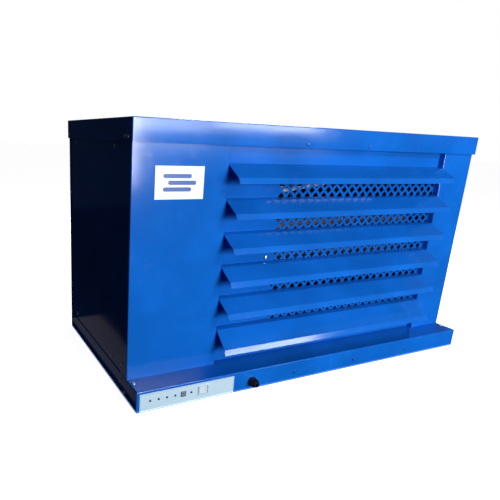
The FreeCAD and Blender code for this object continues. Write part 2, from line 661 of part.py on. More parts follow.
def make_gland():
    """Cable gland for the supply lead: hexagonal body, domed nut and inner locknut."""
    across, level, face = dim("gland_place"), dim("gland_level"), value(TRAY_FRONT)
    thread, bore, nut_radius = dim("gland_thread"), dim("gland_bore"), dim("gland_nut")
    flats, tip = dim("gland_flats"), face - dim("gland_reach")
    flange_thick, stem_inside, lock_thick = 6, 16, 5
    dome_length, flutes, flute_radius = 7, 12, 1
    hole = Part.makeCylinder(bore, 80, Vector(across, face - 40, level), Y_AXIS)
    flange = hexagon(flats, (across, face - flange_thick, level), flange_thick)
    stem = Part.makeCylinder(thread, stem_inside + 1, Vector(across, face - 1, level), Y_AXIS)
    feature("gland_body", flange.fuse(stem).cut(hole))
    skirt_start = tip + dome_length
    skirt = Part.makeCylinder(nut_radius, face - flange_thick - skirt_start,
                              Vector(across, skirt_start, level), Y_AXIS)
    dome = Part.makeCone(0.65 * nut_radius, nut_radius, dome_length,
                         Vector(across, tip, level), Y_AXIS)
    nut = skirt.fuse(dome)
    for turn in range(flutes):
        flute = Part.makeCylinder(flute_radius, 10, Vector(across + nut_radius + 0.3,
                                                           skirt_start - 0.5, level), Y_AXIS)
        nut = nut.cut(flute.rotated(Vector(across, 0, level), Y_AXIS, 360 * turn / flutes))
    feature("gland_nut", nut.cut(hole))
    lock = hexagon(flats + 1, (across, face + dim("base_sheet"), level), lock_thick)
    clear = Part.makeCylinder(thread, 20, Vector(across, face - 1, level), Y_AXIS)
    feature("gland_locknut", lock.cut(clear))


# ------------------------------------------------------------------ refrigeration circuit

def make_exchanger():
    """Horizontal heat exchanger: shell, bolted heads, saddles and the separator below."""
    depth, level = "[exchanger_depth]", "[exchanger_level]"
    length = "[exchanger_right] - [exchanger_left]"
    barrel = rod("shell_barrel", ("[exchanger_left]", depth, level), "[exchanger_radius]",
                 length, "x")
    top = f"({level} - [neck_drop])"
    neck = rod("shell_neck", ("[separator_place]", depth, top), "[neck_radius]", 40)
    inside = rod("shell_inside", ("[exchanger_left]", depth, level),
                 "[exchanger_radius] - [shell_wall]", length, "x")
    keep(cut("exchanger_shell", fuse("shell_block", [barrel, neck]), [inside]),
         "exchanger_shell")
    heads = []
    for name, start in (("left", "[exchanger_left] - [head_thick]"), ("right", "[exchanger_right]")):
        heads.append(rod(f"{name}_head", (start, depth, level), "[head_radius]",
                         "[head_thick]", "x"))
    compound("exchanger_heads", heads)
    saddles = []
    reach, foot_wide, plate, rise = about(depth, "[saddle_half]"), "[saddle_foot]", 4, 30
    for name, place in (("left", "[exchanger_left] + 105"), ("right", "[exchanger_right] - 60")):
        post = box(f"{name}_post", (place, f"{place} + {plate}"), reach,
                   (DECK, f"{level} - {rise}"))
        foot = box(f"{name}_foot", (place, f"{place} + {foot_wide}"), reach,
                   (DECK, f"{DECK} + {plate}"))
        cradle = rod(f"{name}_cradle", (f"{place} - 1", depth, level), "[exchanger_radius]",
                     f"{foot_wide} + 2", "x")
        saddles.append(cut(f"{name}_saddle", fuse(f"{name}_stand", [post, foot]), [cradle]))
    compound("exchanger_saddles", saddles)
    keep(rod("separator_head", ("[separator_place]", depth, f"{top} - [separator_head]"),
             "[separator_radius] + 5", "[separator_head]"), "separator_head")
    radius = "[separator_radius]"
    inner = f"{radius} - 3"
    bowl = [("0", "0"), ("8", "0"), ("8", "10"), (f"{radius} * 0.7", "16"), (radius, "32"),
            (radius, "[separator_bowl]"), (inner, "[separator_bowl]"), (inner, "34"),
            (f"{radius} * 0.65", "20"),
            ("0", "18")]
    revolve("separator_bowl", bowl, ("[separator_place]", depth,
                                    f"{top} - [separator_head] - [separator_bowl]"))


def make_compressor():
    """Hermetic compressor on a foot plate with rubber mounts."""
    radius, low, high = "[compressor_radius]", "[compressor_low]", "[compressor_high]"
    tall = f"({high} - {low})"
    half = [("0", "0"), (f"{radius} * 0.8", "0"), (f"{radius} * 0.96", "14"),
            (f"{radius} * 0.96", f"{tall} * 0.48"), (radius, f"{tall} * 0.48"),
            (radius, f"{tall} * 0.54"), (f"{radius} * 0.96", f"{tall} * 0.54"),
            (f"{radius} * 0.93", f"{tall} * 0.8"), (f"{radius} * 0.72", f"{tall} * 0.94"),
            (f"{radius} * 0.4", tall), ("0", tall)]
    place = ("[compressor_place]", "[compressor_depth]")
    revolve("compressor_shell", half, place + (low,))
    half_wide, half_deep, edge, grommet_radius = 95, 75, 15, 12
    under = f"({low} - [compressor_foot])"
    keep(box("compressor_plate", about(place[0], half_wide), about(place[1], half_deep),
             (under, low)), "compressor_plate")
    mounts = []
    for side in (-1, 1):
        for end in (-1, 1):
            mounts.append(rod(f"grommet_{side + 1}{end + 1}",
                              (f"{place[0]} + {side * (half_wide - edge)}",
                               f"{place[1]} + {end * (half_deep - edge)}", DECK),
                              grommet_radius, f"{under} - {DECK}"))
    compound("compressor_grommets", mounts)


def make_condenser():
    """Finned condenser between two end plates, with return bends outside the right plate."""
    thick = ("[condenser_front]", CONDENSER_BACK)
    keep(box("condenser_fins", ("[condenser_left]", "[condenser_right]"), thick,
             ("[condenser_low]", "[condenser_high]")), "condenser_fins")
    plates = []
    for name, low in (("left", "[condenser_left] - [sheet]"), ("right", "[condenser_right]")):
        plates.append(box(f"{name}_end_plate", (low, f"{low} + [sheet]"), thick,
                          (DECK, "[condenser_high] + 6")))
    compound("condenser_plates", plates)
    bends = []
    pipe, turn, pitch, count, first, reach = 4.5, 12, 50, 8, 12, 16
    edge = dim("condenser_right") + dim("sheet")
    middle = dim("condenser_front") + dim("condenser_thick") / 2
    for index in range(count):
        low = dim("condenser_low") + first + index * pitch
        high = low + pitch / 2
        spots = [(edge, middle, low), (edge + reach, middle, low),
                 (edge + reach, middle, high), (edge, middle, high)]
        bends.append(tube(spots, pipe, turn))
    feature("condenser_bends", Part.makeCompound(bends))


SOCKET_DEPTH = 36  # how far the fan shaft reaches into its motor


def make_fan():
    """Shroud, rotor, motor and the bracket that carries the motor."""
    wide = ("[condenser_left] - 10", "[condenser_right] + 10")
    tall = ("[condenser_low]", "[condenser_high]")
    plenum = box("shroud_box", wide, (CONDENSER_BACK, SHROUD_BACK), tall)
    inside = box("shroud_inside", (f"{wide[0]} + [sheet]", f"{wide[1]} - [sheet]"),
                 (f"{CONDENSER_BACK} - 1", f"{SHROUD_BACK} - [sheet]"),
                 (f"{tall[0]} + [sheet]", f"{tall[1]} - [sheet]"))
    centre = ("[fan_centre]", f"{SHROUD_BACK} - [sheet]", "[fan_level]")
    collar = rod("shroud_collar", centre, "[ring_radius] + [ring_thick]",
                 f"{RING_BACK} - {SHROUD_BACK} + [sheet]", "y")
    bore = rod("shroud_bore", ("[fan_centre]", f"{SHROUD_BACK} - 5", "[fan_level]"),
               "[ring_radius]", 80, "y")
    keep(cut("fan_shroud", fuse("shroud_block", [plenum, collar]), [inside, bore]), "fan_shroud")

    spot = ("[fan_centre]", "[motor_front]", "[fan_level]")
    motor = rod("motor_can", spot, "[motor_radius]", "[motor_length]", "y")
    socket = rod("motor_socket", ("[fan_centre]", "[motor_front] - 1", "[fan_level]"),
                 "[fan_shaft] + [shaft_clearance]", f"{SOCKET_DEPTH} + 4", "y")
    keep(cut("fan_motor", motor, [socket]), "fan_motor")

    disc = rod("bracket_disc", ("[fan_centre]", RING_BACK, "[fan_level]"),
               "[motor_radius]", "[motor_front] - " + RING_BACK, "y")
    reach = "([ring_radius] + [ring_thick])"
    half, slab = "[bracket_half]", (RING_BACK, "[motor_front]")
    across = box("bracket_across", about("[fan_centre]", reach), slab, about("[fan_level]", half))
    upright = box("bracket_upright", about("[fan_centre]", half), slab,
                  about("[fan_level]", reach))
    eye = rod("bracket_eye", ("[fan_centre]", f"{RING_BACK} - 1", "[fan_level]"),
              "[fan_shaft] + 4", 8, "y")
    keep(cut("fan_motor_bracket", fuse("bracket_cross", [disc, across, upright]), [eye]),
         "fan_motor_bracket")
    make_rotor()


def make_rotor(blades=5):
    """Fan rotor: hub and shaft with pitched, slightly swept blades."""
    hub, tip, thick = dim("hub_radius"), dim("fan_radius"), dim("fan_thick")
    front = dim("fan_front")
    centre = Vector(dim("fan_centre"), front, dim("fan_level"))
    rotor = Part.makeCylinder(hub, thick, centre, Y_AXIS)
    shaft_length = dim("motor_front") + SOCKET_DEPTH - front
    rotor = rotor.fuse(Part.makeCylinder(dim("fan_shaft"), shaft_length, centre, Y_AXIS))
    sections = []
    for radius, angle, chord in ((hub - 3, 42, 52), ((hub + tip) / 2, 30, 84), (tip, 22, 104)):
        pitch = math.radians(angle)
        ahead = Vector(0, -math.sin(pitch), math.cos(pitch)) * (chord / 2)
        normal = Vector(0, math.cos(pitch), math.sin(pitch)) * 1.2
        middle = centre + Vector(radius, thick / 2, 0)
        corners = [middle - ahead - normal, middle + ahead - normal,
                   middle + ahead + normal, middle - ahead + normal]
        sections.append(Part.makePolygon(corners + corners[:1]))
    limit = Part.makeCylinder(tip, thick, centre, Y_AXIS)
    vane = Part.makeLoft(sections, True, True).common(limit)
    for index in range(blades):
        rotor = rotor.fuse(vane.rotated(centre, Y_AXIS, 360 * index / blades))
    feature("fan_rotor", rotor)


def make_refrigerant_lines():
    """Filter drier and the copper lines between compressor, condenser and exchanger."""
    x, y, radius = dim("drier_place"), dim("drier_depth"), dim("drier_radius")
    low, cap, barrel, mouth = 104, 12, 96, 6
    high = low + 2 * cap + barrel
    drier = Part.makeCylinder(radius, barrel, Vector(x, y, low + cap))
    drier = drier.fuse([Part.makeCone(mouth, radius, cap, Vector(x, y, low)),
                        Part.makeCone(radius, mouth, cap, Vector(x, y, high - cap))])
    feature("filter_drier", drier)
    level, depth = dim("exchanger_level"), dim("exchanger_depth")
    across, behind = dim("compressor_place"), dim("compressor_depth")
    edge = dim("condenser_left") - dim("sheet")
    middle = dim("condenser_front") + dim("condenser_thick") / 2
    flank = across + 0.93 * dim("compressor_radius")
    outlet_level, inlet_level, liquid_level = 180, 430, 76
    suction = [(across, depth + dim("exchanger_radius"), level), (across, behind, level),
               (across, behind, dim("compressor_high"))]
    discharge = [(flank, behind, outlet_level), (45, behind, outlet_level),
                 (45, behind, inlet_level), (45, middle, inlet_level),
                 (edge, middle, inlet_level)]
    liquid = [(edge, middle, liquid_level), (x, middle, liquid_level), (x, y, liquid_level),
              (x, y, low)]
    capillary = [(x, y, high), (x, y, high + 16), (10, y, high + 16), (10, y, high + 38)]
    lines = [tube(suction, 6, 30), tube(discharge, 5, 14), tube(liquid, 5, 14),
             tube(capillary, 1.6, 7)]
    feature("refrigerant_lines", Part.makeCompound(lines))


# ------------------------------------------------------------------ air and condensate

def make_air_pipes():
    """Inlet and outlet pipes with threaded couplings that stand out of the rear panel."""
    depth, end = dim("exchanger_depth"), dim("base_depth") / 2 - dim("pipe_end")
    face = dim("exchanger_left") - dim("head_thick")
    pipe, bore, bend = dim("air_pipe"), dim("air_pipe") - dim("pipe_wall"), 45
    couplings = []
    for name, side in (("inlet", 1), ("outlet", -1)):
        across = dim(f"{name}_place")
        level = dim("exchanger_level") + side * dim("nozzle_offset")
        route = [(face, depth, level), (across, depth, level), (across, end, level)]
        feature(f"air_{name}_pipe", tube(route, pipe, bend, bore))
        start = Vector(across, end, level)
        ring = Part.makeCylinder(dim("port_outer"), dim("port_length") + dim("pipe_end"),
                                 start, Y_AXIS)
        ring = ring.cut(Part.makeCylinder(dim("port_bore"), 60, start + Y_AXIS, Y_AXIS))
        ring = ring.cut(Part.makeCylinder(bore, 4, start - Y_AXIS, Y_AXIS))
        couplings.append(ring)
    feature("port_couplings", Part.makeCompound(couplings))


def make_drain():
    """Condensate drain: feed tube, ball valve, timed solenoid valve and outlet tube."""
    depth, level, pipe = dim("exchanger_depth"), dim("drain_level"), dim("drain_tube")
    bore, across, exit_x = pipe - dim("drain_wall"), dim("separator_place"), dim("drain_exit")
    outside, inside = dim("base_depth") / 2, dim("spigot_inside")
    valve_x, valve_half = dim("ball_valve_place"), 20
    bowl_foot = (dim("exchanger_level") - dim("neck_drop") - dim("separator_head")
                 - dim("separator_bowl"))
    feed = [(across, depth, bowl_foot), (across, depth, level),
            (valve_x + valve_half, depth, level)]
    leave = [(dim("solenoid_left"), depth, level), (exit_x, depth, level),
             (exit_x, outside - inside, level)]
    feature("drain_tubes", Part.makeCompound([tube(feed, pipe, 14, bore),
                                              tube(leave, pipe, 20, bore)]))
    make_spigot(Vector(exit_x, outside, level), pipe, bore, inside)
    valve = Part.makeCylinder(12, 2 * valve_half, Vector(valve_x - valve_half, depth, level), X_AXIS)
    valve = valve.fuse(Part.makeCylinder(7, 18, Vector(valve_x, depth, level)))
    stem_hole = Part.makeCylinder(3.05, 10, Vector(valve_x, depth, level + 9))
    feature("drain_ball_valve", valve.cut(stem_hole))
    stem = Part.makeCylinder(3, 12, Vector(valve_x, depth, level + 9.5))
    arm = Part.makeBox(64, 11, 2.5, Vector(valve_x - 7, depth - 5.5, level + 19))
    grip = Part.makeBox(34, 12, 4.5, Vector(valve_x + 23, depth - 6, level + 18))
    feature("drain_valve_lever", stem.fuse([arm, grip]))
    make_drain_timer(dim("solenoid_left"), depth, level)


def make_spigot(place, pipe, bore, inside):
    """Hose spigot with a flange against the rear panel and a socket for the tube."""
    spigot = Part.makeCylinder(pipe + 0.9, inside, place - Y_AXIS * inside, Y_AXIS)
    spigot = spigot.fuse(Part.makeCylinder(2 * pipe, dim("spigot_flange"), place, Y_AXIS))
    tail = dim("spigot_flange") + dim("spigot_length")
    spigot = spigot.fuse(Part.makeCylinder(pipe, tail, place, Y_AXIS))
    hole = Part.makeCylinder(bore, 60, place - Y_AXIS * 20, Y_AXIS)
    feature("drain_spigot", spigot.cut(hole))


def make_drain_timer(left, depth, level):
    """Solenoid valve on the deck, the timer on top of it and the timer's two knobs."""
    deck, body_top, timer_low, timer_tall, knob_gap = dim("base_height"), 17, 59, 34, 0.5
    timer_top = level + timer_low + timer_tall
    block = Part.makeBox(50, 40, level + body_top - deck, Vector(left, depth - 20, deck))
    block = block.fuse(Part.makeBox(44, 34, timer_low - body_top,
                                    Vector(left + 3, depth - 17, level + body_top)))
    feature("drain_solenoid", block)
    timer = Part.makeBox(52, 44, timer_tall, Vector(left - 1, depth - 22, level + timer_low))
    for label in ("interval", "opening"):
        place = dim(f"{label}_place")
        timer = timer.cut(Part.makeCylinder(2.05, 8, Vector(place, depth, timer_top - 7)))
        knob = Part.makeCylinder(7, 8, Vector(place, depth, timer_top + knob_gap))
        mark = Part.makeBox(1.2, 7, 2, Vector(place - 0.6, depth - 7.5, timer_top + 7.3))
        shaft = Part.makeCylinder(2, 7, Vector(place, depth, timer_top - 7 + knob_gap))
        feature(f"{label}_knob", knob.fuse(shaft).cut(mark))
    feature("drain_timer", timer)


def make_fan_conduit():
    """White conduit that carries the fan lead over the exchanger to the motor."""
    across, ahead, above = dim("fan_centre"), -138, 486
    route = [(-330, ahead, dim("base_height")), (-330, ahead, 415), (-250, ahead, 420),
             (-96, ahead, 439), (112, ahead, 467), (250, ahead, 484), (across, -60, above),
             (across, 196, above), (across, 196, dim("fan_level") + dim("motor_radius"))]
    feature("fan_conduit", tube(route, 4, 18))


# ------------------------------------------------------------------ build, check, write

for make in (make_base_tray, make_base_flanges, make_lid, make_front_panels,
             make_louvre_back_panel, make_blades, make_grille, make_side_panels,
             make_panel_rails, make_rear_panel, make_fan_guard, make_screws, make_plates,
             make_controls, make_gland, make_exchanger, make_compressor, make_condenser,
             make_fan, make_refrigerant_lines, make_air_pipes, make_drain, make_fan_conduit):
    make()
doc.recompute()

for obj in doc.Objects:
    if any(state in ("Invalid", "Error") for state in obj.State):
        raise ValueError(f"{obj.Name} failed to recompute")
os.makedirs("parts", exist_ok=True)
for label, obj in nodes.items():
    if obj.Shape.isNull() or not obj.Shape.isValid():
        raise ValueError(f"{label} has no valid shape")
for label, obj in nodes.items():
    obj.Shape.exportStep(f"parts/{label}.step")
print(f"{len(nodes)} sub-parts written")
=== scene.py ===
"""Looks of a refrigerated air dryer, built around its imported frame.

The origin is the centre of the base's underside, +X runs to the right along the front, -Y
faces the front (the louvres) and +Z is up. Every length is in metres.
"""
from __future__ import annotations

import json
import logging
import math
from dataclasses import dataclass
from enum import Enum
from functools import cache
from typing import Callable, Iterable, Mapping, Optional, Sequence, Union

import bmesh
import bpy
from mathutils import Matrix, Vector


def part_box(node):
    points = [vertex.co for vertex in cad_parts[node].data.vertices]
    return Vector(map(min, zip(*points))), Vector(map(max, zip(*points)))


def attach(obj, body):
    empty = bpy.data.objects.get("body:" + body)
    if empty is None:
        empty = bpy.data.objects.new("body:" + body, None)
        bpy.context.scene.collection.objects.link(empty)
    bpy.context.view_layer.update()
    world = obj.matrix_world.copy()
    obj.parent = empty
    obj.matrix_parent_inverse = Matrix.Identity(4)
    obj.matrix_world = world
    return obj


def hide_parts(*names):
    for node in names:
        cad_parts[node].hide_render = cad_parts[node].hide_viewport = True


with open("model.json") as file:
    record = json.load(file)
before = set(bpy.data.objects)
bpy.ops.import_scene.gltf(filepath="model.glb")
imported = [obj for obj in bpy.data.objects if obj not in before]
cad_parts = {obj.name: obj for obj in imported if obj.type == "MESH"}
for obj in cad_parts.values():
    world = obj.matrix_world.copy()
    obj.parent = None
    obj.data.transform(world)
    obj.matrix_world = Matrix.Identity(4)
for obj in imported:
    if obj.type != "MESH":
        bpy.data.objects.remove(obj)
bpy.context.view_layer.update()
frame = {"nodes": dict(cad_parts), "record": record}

LOG = logging.getLogger("air_dryer")
MILLI = 0.001
Colour = tuple[float, float, float]
Point2 = tuple[float, float]
Point3 = tuple[float, float, float]
EVEN: Point3 = (1.0, 1.0, 1.0)
WHITE: Colour = (1.0, 1.0, 1.0)
WARM: Colour = (1.0, 0.99, 0.97)
COOL: Colour = (0.9, 0.96, 1.0)
BACK = Vector((0, 1, 0))
TIPPED_UP: Point3 = (math.pi / 2, 0, 0)


class Body(Enum):
    """Rigid bodies that a piece can ride on."""

    CABINET = "cabinet"
    FAN = "fan"
    ROCKER = "rocker"
    BUTTON = "button"
    LEVER = "lever"
    INTERVAL = "interval"
    OPENING = "opening"


class Slot(Enum):
    """Finishes that the record names."""

    BLUE_PAINT = "blue_paint"
    GALVANISED = "galvanised"
    BLACK_WIRE = "black_wire"
    BADGE_FACE = "badge_face"
    STRIP_FACE = "strip_face"
    BOARD_GREEN = "board_green"
    LAMP_LENS = "lamp_lens"
    BUTTON_CAP = "button_cap"
    SWITCH_HOUSING = "switch_housing"
    SWITCH_ROCKER = "switch_rocker"
    GLAND_NYLON = "gland_nylon"
    ZINC_SCREW = "zinc_screw"
    BLACK_PAINT = "black_paint"
    GROMMET_RUBBER = "grommet_rubber"
    FIN_BLACK = "fin_black"
    COPPER = "copper"
    MOTOR_CASTING = "motor_casting"
    FAN_PLASTIC = "fan_plastic"
    EXCHANGER_GOLD = "exchanger_gold"
    BRASS_FITTING = "brass_fitting"
    WHITE_PLASTIC = "white_plastic"
    LEVER_RED = "lever_red"
    COIL_BLACK = "coil_black"
    KNOB_GREY = "knob_grey"


# ------------------------------------------------------------------ shader graph

class Value:
    """A shader socket that carries a number, with arithmetic on it."""

    def __init__(self, graph: Graph, socket: bpy.types.NodeSocket) -> None:
        """Keep the graph and the socket."""
        self.graph = graph
        self.socket = socket

    def __add__(self, other: Number) -> Value:
        """Sum."""
        return self.graph.math("ADD", self, other)

    def __sub__(self, other: Number) -> Value:
        """Difference."""
        return self.graph.math("SUBTRACT", self, other)

    def __rsub__(self, other: Number) -> Value:
        """Difference from a number."""
        return self.graph.math("SUBTRACT", other, self)

    def __mul__(self, other: Number) -> Value:
        """Product."""
        return self.graph.math("MULTIPLY", self, other)

    def __truediv__(self, other: Number) -> Value:
        """Quotient."""
        return self.graph.math("DIVIDE", self, other)

    def __gt__(self, other: Number) -> Value:
        """1 where this is above the other, and 0 elsewhere."""
        return self.graph.math("GREATER_THAN", self, other)

    def __lt__(self, other: Number) -> Value:
        """1 where this is below the other, and 0 elsewhere."""
        return self.graph.math("LESS_THAN", self, other)

    __radd__ = __add__
    __rmul__ = __mul__

    def smooth(self, low: float, high: float) -> Value:
        """The value eased from 0 at low to 1 at high."""
        node = self.graph.node("ShaderNodeMapRange", {"interpolation_type": "SMOOTHSTEP"},
                               {"Value": self, "From Min": low, "From Max": high})
        return Value(self.graph, node.outputs["Result"])


Number = Union[float, Value]


class Graph:
    """The node tree of one material."""

    def __init__(self, name: str) -> None:
        """Start an empty tree.

        Args:
            name: Name of the material.
        """
        self.material = bpy.data.materials.new(name)
        self.material.use_nodes = True
        self.tree = self.material.node_tree
        self.tree.nodes.clear()
        self.place = self.node("ShaderNodeTexCoord").outputs["Object"]

    def node(self, kind: str, settings: Optional[Mapping] = None,
             inputs: Optional[Mapping] = None) -> bpy.types.Node:
        """Add a node.

        Args:
            kind: Type of the node.
            settings: Its settings, set first; stops are a ramp's (place, colour) pairs.
            inputs: Numbers, colours, sockets or values for its sockets, by name or index.

        Returns:
            The node.
        """
        node = self.tree.nodes.new(kind)
        for key, setting in (settings or {}).items():
            if key == "stops":
                ramp = node.color_ramp
                while len(ramp.elements) < len(setting):
                    ramp.elements.new(0.5)
                for element, (place, colour) in zip(ramp.elements, setting):
                    element.position = place
                    element.color = rgba(colour)
            else:
                setattr(node, key, setting)
        for key, item in (inputs or {}).items():
            link = item.socket if isinstance(item, Value) else item
            if isinstance(link, bpy.types.NodeSocket):
                self.tree.links.new(link, node.inputs[key])
            else:
                node.inputs[key].default_value = item
        return node

    def math(self, operation: str, *terms: Number) -> Value:
        """A Math node on numbers or values."""
        node = self.node("ShaderNodeMath", {"operation": operation}, dict(enumerate(terms)))
        return Value(self, node.outputs[0])

    def scaled(self, stretch: Point3) -> bpy.types.NodeSocket:
        """The piece's own coordinates, with a factor on each axis."""
        return self.node("ShaderNodeMapping", None,
                         {"Vector": self.place, "Scale": stretch}).outputs[0]

    def noise(self, scale: float, detail: float = 2.0, stretch: Point3 = EVEN) -> Value:
        """Smooth noise, about 0.3 to 0.7, from features per metre and octaves."""
        node = self.node("ShaderNodeTexNoise", None,
                         {"Vector": self.scaled(stretch), "Scale": scale, "Detail": detail})
        return Value(self, node.outputs[0])

    def cells(self, scale: float, stretch: Point3 = EVEN) -> Value:
        """A random level for each cell of a Voronoi pattern.

        Args:
            scale: Cells per metre.
            stretch: Factor on the scale along each axis.

        Returns:
            A level from 0 to 1 that is even inside a cell.
        """
        pattern = self.node("ShaderNodeTexVoronoi", None,
                            {"Vector": self.scaled(stretch), "Scale": scale})
        parts = self.node("ShaderNodeSeparateColor", None, {0: pattern.outputs["Color"]})
        return Value(self, parts.outputs[0])

    def axes(self) -> tuple[Value, Value, Value]:
        """The piece's own coordinates as three values."""
        node = self.node("ShaderNodeSeparateXYZ", None, {0: self.place})
        return tuple(Value(self, output) for output in node.outputs)

    def mix(self, factor: Number, first: object, second: object,
            blend: str = "MIX") -> bpy.types.NodeSocket:
        """Mix two colours.

        Args:
            factor: Share of the second.
            first: Colour or socket.
            second: Colour or socket.
            blend: Blend type.

        Returns:
            The colour socket.
        """
        ends = [rgba(item) if isinstance(item, tuple) else item for item in (first, second)]
        node = self.node("ShaderNodeMix", {"data_type": "RGBA", "blend_type": blend},
                         {0: factor, 6: ends[0], 7: ends[1]})
        return node.outputs[2]

    def bump(self, height: Value, distance: float,
             after: Optional[bpy.types.NodeSocket] = None) -> bpy.types.NodeSocket:
        """A normal from a height.

        Args:
            height: Height from 0 to 1.
            distance: Depth in metres that a height of 1 stands for.
            after: Normal that this one adds to.

        Returns:
            The normal socket.
        """
        inputs = {"Height": height, "Distance": distance, "Strength": 1.0}
        if after is not None:
            inputs["Normal"] = after
        return self.node("ShaderNodeBump", None, inputs).outputs[0]

    def finish(self, inputs: Mapping) -> bpy.types.Material:
        """Close the tree with a Principled shader.

        Args:
            inputs: Numbers, colours, sockets or values for its sockets.

        Returns:
            The material.
        """
        shader = self.node("ShaderNodeBsdfPrincipled", None, inputs)
        self.node("ShaderNodeOutputMaterial", None, {"Surface": shader.outputs[0]})
        return self.material


def rgba(colour: Sequence[float]) -> tuple[float, ...]:
    """A colour with full opacity."""
    return tuple(colour[:3]) + (1.0,)


def shade(colour: Colour, factor: float) -> Colour:
    """A colour made darker or paler by a factor."""
    return tuple(part * factor for part in colour)


# ------------------------------------------------------------------ finishes

@dataclass(frozen=True)
class PowderCoat:
    """Baked paint on sheet metal: even colour, fine orange peel and slightly wavy sheet."""

    name: str
    colour: Colour
    roughness: float = 0.13
    peel: float = 0.01 * MILLI
    wave: float = 0.25 * MILLI
    mottle: float = 0.12

    def build(self) -> bpy.types.Material:
        """Make the material.

        Returns:
            The material.
        """
        graph = Graph(self.name)
        broad = graph.noise(7.0, 3.0)
        dust = graph.noise(55.0, 6.0).smooth(0.52, 0.75) * graph.noise(4.0).smooth(0.4, 0.7)
        paint = graph.mix(broad.smooth(0.3, 0.7), shade(self.colour, 1 - self.mottle),
                          shade(self.colour, 1 + self.mottle))
        paint = graph.mix(dust * 0.02, paint, (0.45, 0.5, 0.55))
        rough = self.roughness + (broad - 0.5) * 0.06 + dust * 0.08
        sheet = graph.bump(graph.noise(6.5, 1.0), self.wave)
        skin = graph.bump(graph.noise(520.0, 1.0), self.peel, sheet)
        return graph.finish({"Base Color": paint, "Roughness": rough, "Normal": skin})


@dataclass(frozen=True)
class PlatedMetal:
    """Bare or plated metal whose crystals or drawing marks vary its shine."""

    name: str
    colour: Colour
    roughness: float = 0.35
    grain: float = 110.0
    contrast: float = 0.18
    stretch: Point3 = EVEN

    def build(self) -> bpy.types.Material:
        """Make the material.

        Returns:
            The material.
        """
        graph = Graph(self.name)
        crystal = graph.cells(self.grain, self.stretch)
        tarnish = graph.noise(14.0, 4.0).smooth(0.35, 0.7)
        face = graph.mix(crystal, shade(self.colour, 1 - self.contrast), self.colour)
        face = graph.mix(tarnish * 0.25, face, shade(self.colour, 0.6))
        rough = self.roughness + (crystal - 0.5) * 0.12 + tarnish * 0.1
        scratches = graph.noise(900.0, 2.0, self.stretch)
        return graph.finish({"Base Color": face, "Roughness": rough, "Metallic": 1.0,
                             "Normal": graph.bump(scratches, 0.01 * MILLI)})


@dataclass(frozen=True)
class Moulding:
    """Moulded plastic or rubber with a fine spark grain."""

    name: str
    colour: Colour
    roughness: float = 0.45
    grain: float = 0.02 * MILLI

    def build(self) -> bpy.types.Material:
        """Make the material.

        Returns:
            The material.
        """
        graph = Graph(self.name)
        cloud = graph.noise(60.0, 3.0)
        face = graph.mix(cloud.smooth(0.35, 0.7), shade(self.colour, 0.88), self.colour)
        rough = self.roughness + (cloud - 0.5) * 0.15
        return graph.finish({"Base Color": face, "Roughness": rough,
                             "Normal": graph.bump(graph.noise(1600.0, 1.0), self.grain)})


@dataclass(frozen=True)
class Anodised:
    """Satin strip with fine lines along it and a printed frame line near its rim."""

    name: str
    colour: Colour
    node: str
    line: float = 0.5 * MILLI
    inset: float = 1.8 * MILLI

    def build(self) -> bpy.types.Material:
        """Make the material.

        Returns:
            The material.
        """
        graph = Graph(self.name)
        low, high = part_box(self.node)
        across, _, up = graph.axes()
        hair = graph.noise(1500.0, 2.0, (0.02, 1.0, 1.0))
        rim = frame_line(graph, (across, up), (low.x, low.z), (high.x, high.z), self.inset,
                         self.line)
        face = graph.mix(hair.smooth(0.3, 0.7), shade(self.colour, 0.9), self.colour)
        face = graph.mix(rim * 0.55, face, (0.05, 0.1, 0.25))
        return graph.finish({"Base Color": face, "Roughness": 0.34 + (hair - 0.5) * 0.2,
                             "Metallic": 0.25, "Normal": graph.bump(hair, 0.006 * MILLI)})


@dataclass(frozen=True)
class BlankBadge:
    """White plate printed with plain bars and a thin frame, and no lettering."""

    name: str
    node: str
    white: Colour = (0.84, 0.92, 0.97)
    ink: Colour = (0.02, 0.09, 0.36)
    grey: Colour = (0.3, 0.33, 0.38)
    bars: tuple[tuple[Point2, float], ...] = (((0.16, 0.74), 0.7), ((0.26, 0.84), 0.5),
                                              ((0.16, 0.74), 0.3))
    thick: float = 0.13
    inset: float = 1.6 * MILLI
    line: float = 0.5 * MILLI

    def build(self) -> bpy.types.Material:
        """Make the material.

        Returns:
            The material.
        """
        graph = Graph(self.name)
        low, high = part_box(self.node)
        wide, tall = high.x - low.x, high.z - low.z
        across, _, up = graph.axes()
        across, up = (across - low.x) / wide, (up - low.z) / tall
        face = graph.mix(graph.noise(90.0, 3.0).smooth(0.3, 0.7), shade(self.white, 0.97),
                         self.white)
        bars = [bar_mask(graph, (across, up), ends, level, self.thick, wide / tall)
                for ends, level in self.bars]
        face = graph.mix(bars[0] + bars[1] + bars[2], face, self.ink)
        rim = frame_line(graph, (across * wide, up * tall), (0.0, 0.0), (wide, tall),
                         self.inset, self.line)
        face = graph.mix(rim * 0.7, face, self.grey)
        return graph.finish({"Base Color": face, "Roughness": 0.28 + graph.noise(40.0) * 0.1,
                             "Normal": graph.bump(graph.noise(300.0), 0.004 * MILLI)})


def bar_mask(graph: Graph, place: tuple[Value, Value], ends: Point2, level: float,
             thick: float, aspect: float) -> Value:
    """1 inside a bar with round ends.

    Args:
        graph: Graph to add to.
        place: Coordinates across and up, each from 0 to 1 over the plate.
        ends: Left and right end of the bar.
        level: Height of its middle.
        thick: Its thickness, as a share of the plate's height.
        aspect: Width of the plate over its height.

    Returns:
        The mask.
    """
    half = thick / 2
    middle, reach = sum(ends) / 2 * aspect, (ends[1] - ends[0]) / 2 * aspect - half
    past = graph.math("MAXIMUM", graph.math("ABSOLUTE", place[0] * aspect - middle) - reach, 0.0)
    rise = place[1] - level
    return (past * past + rise * rise) < half * half


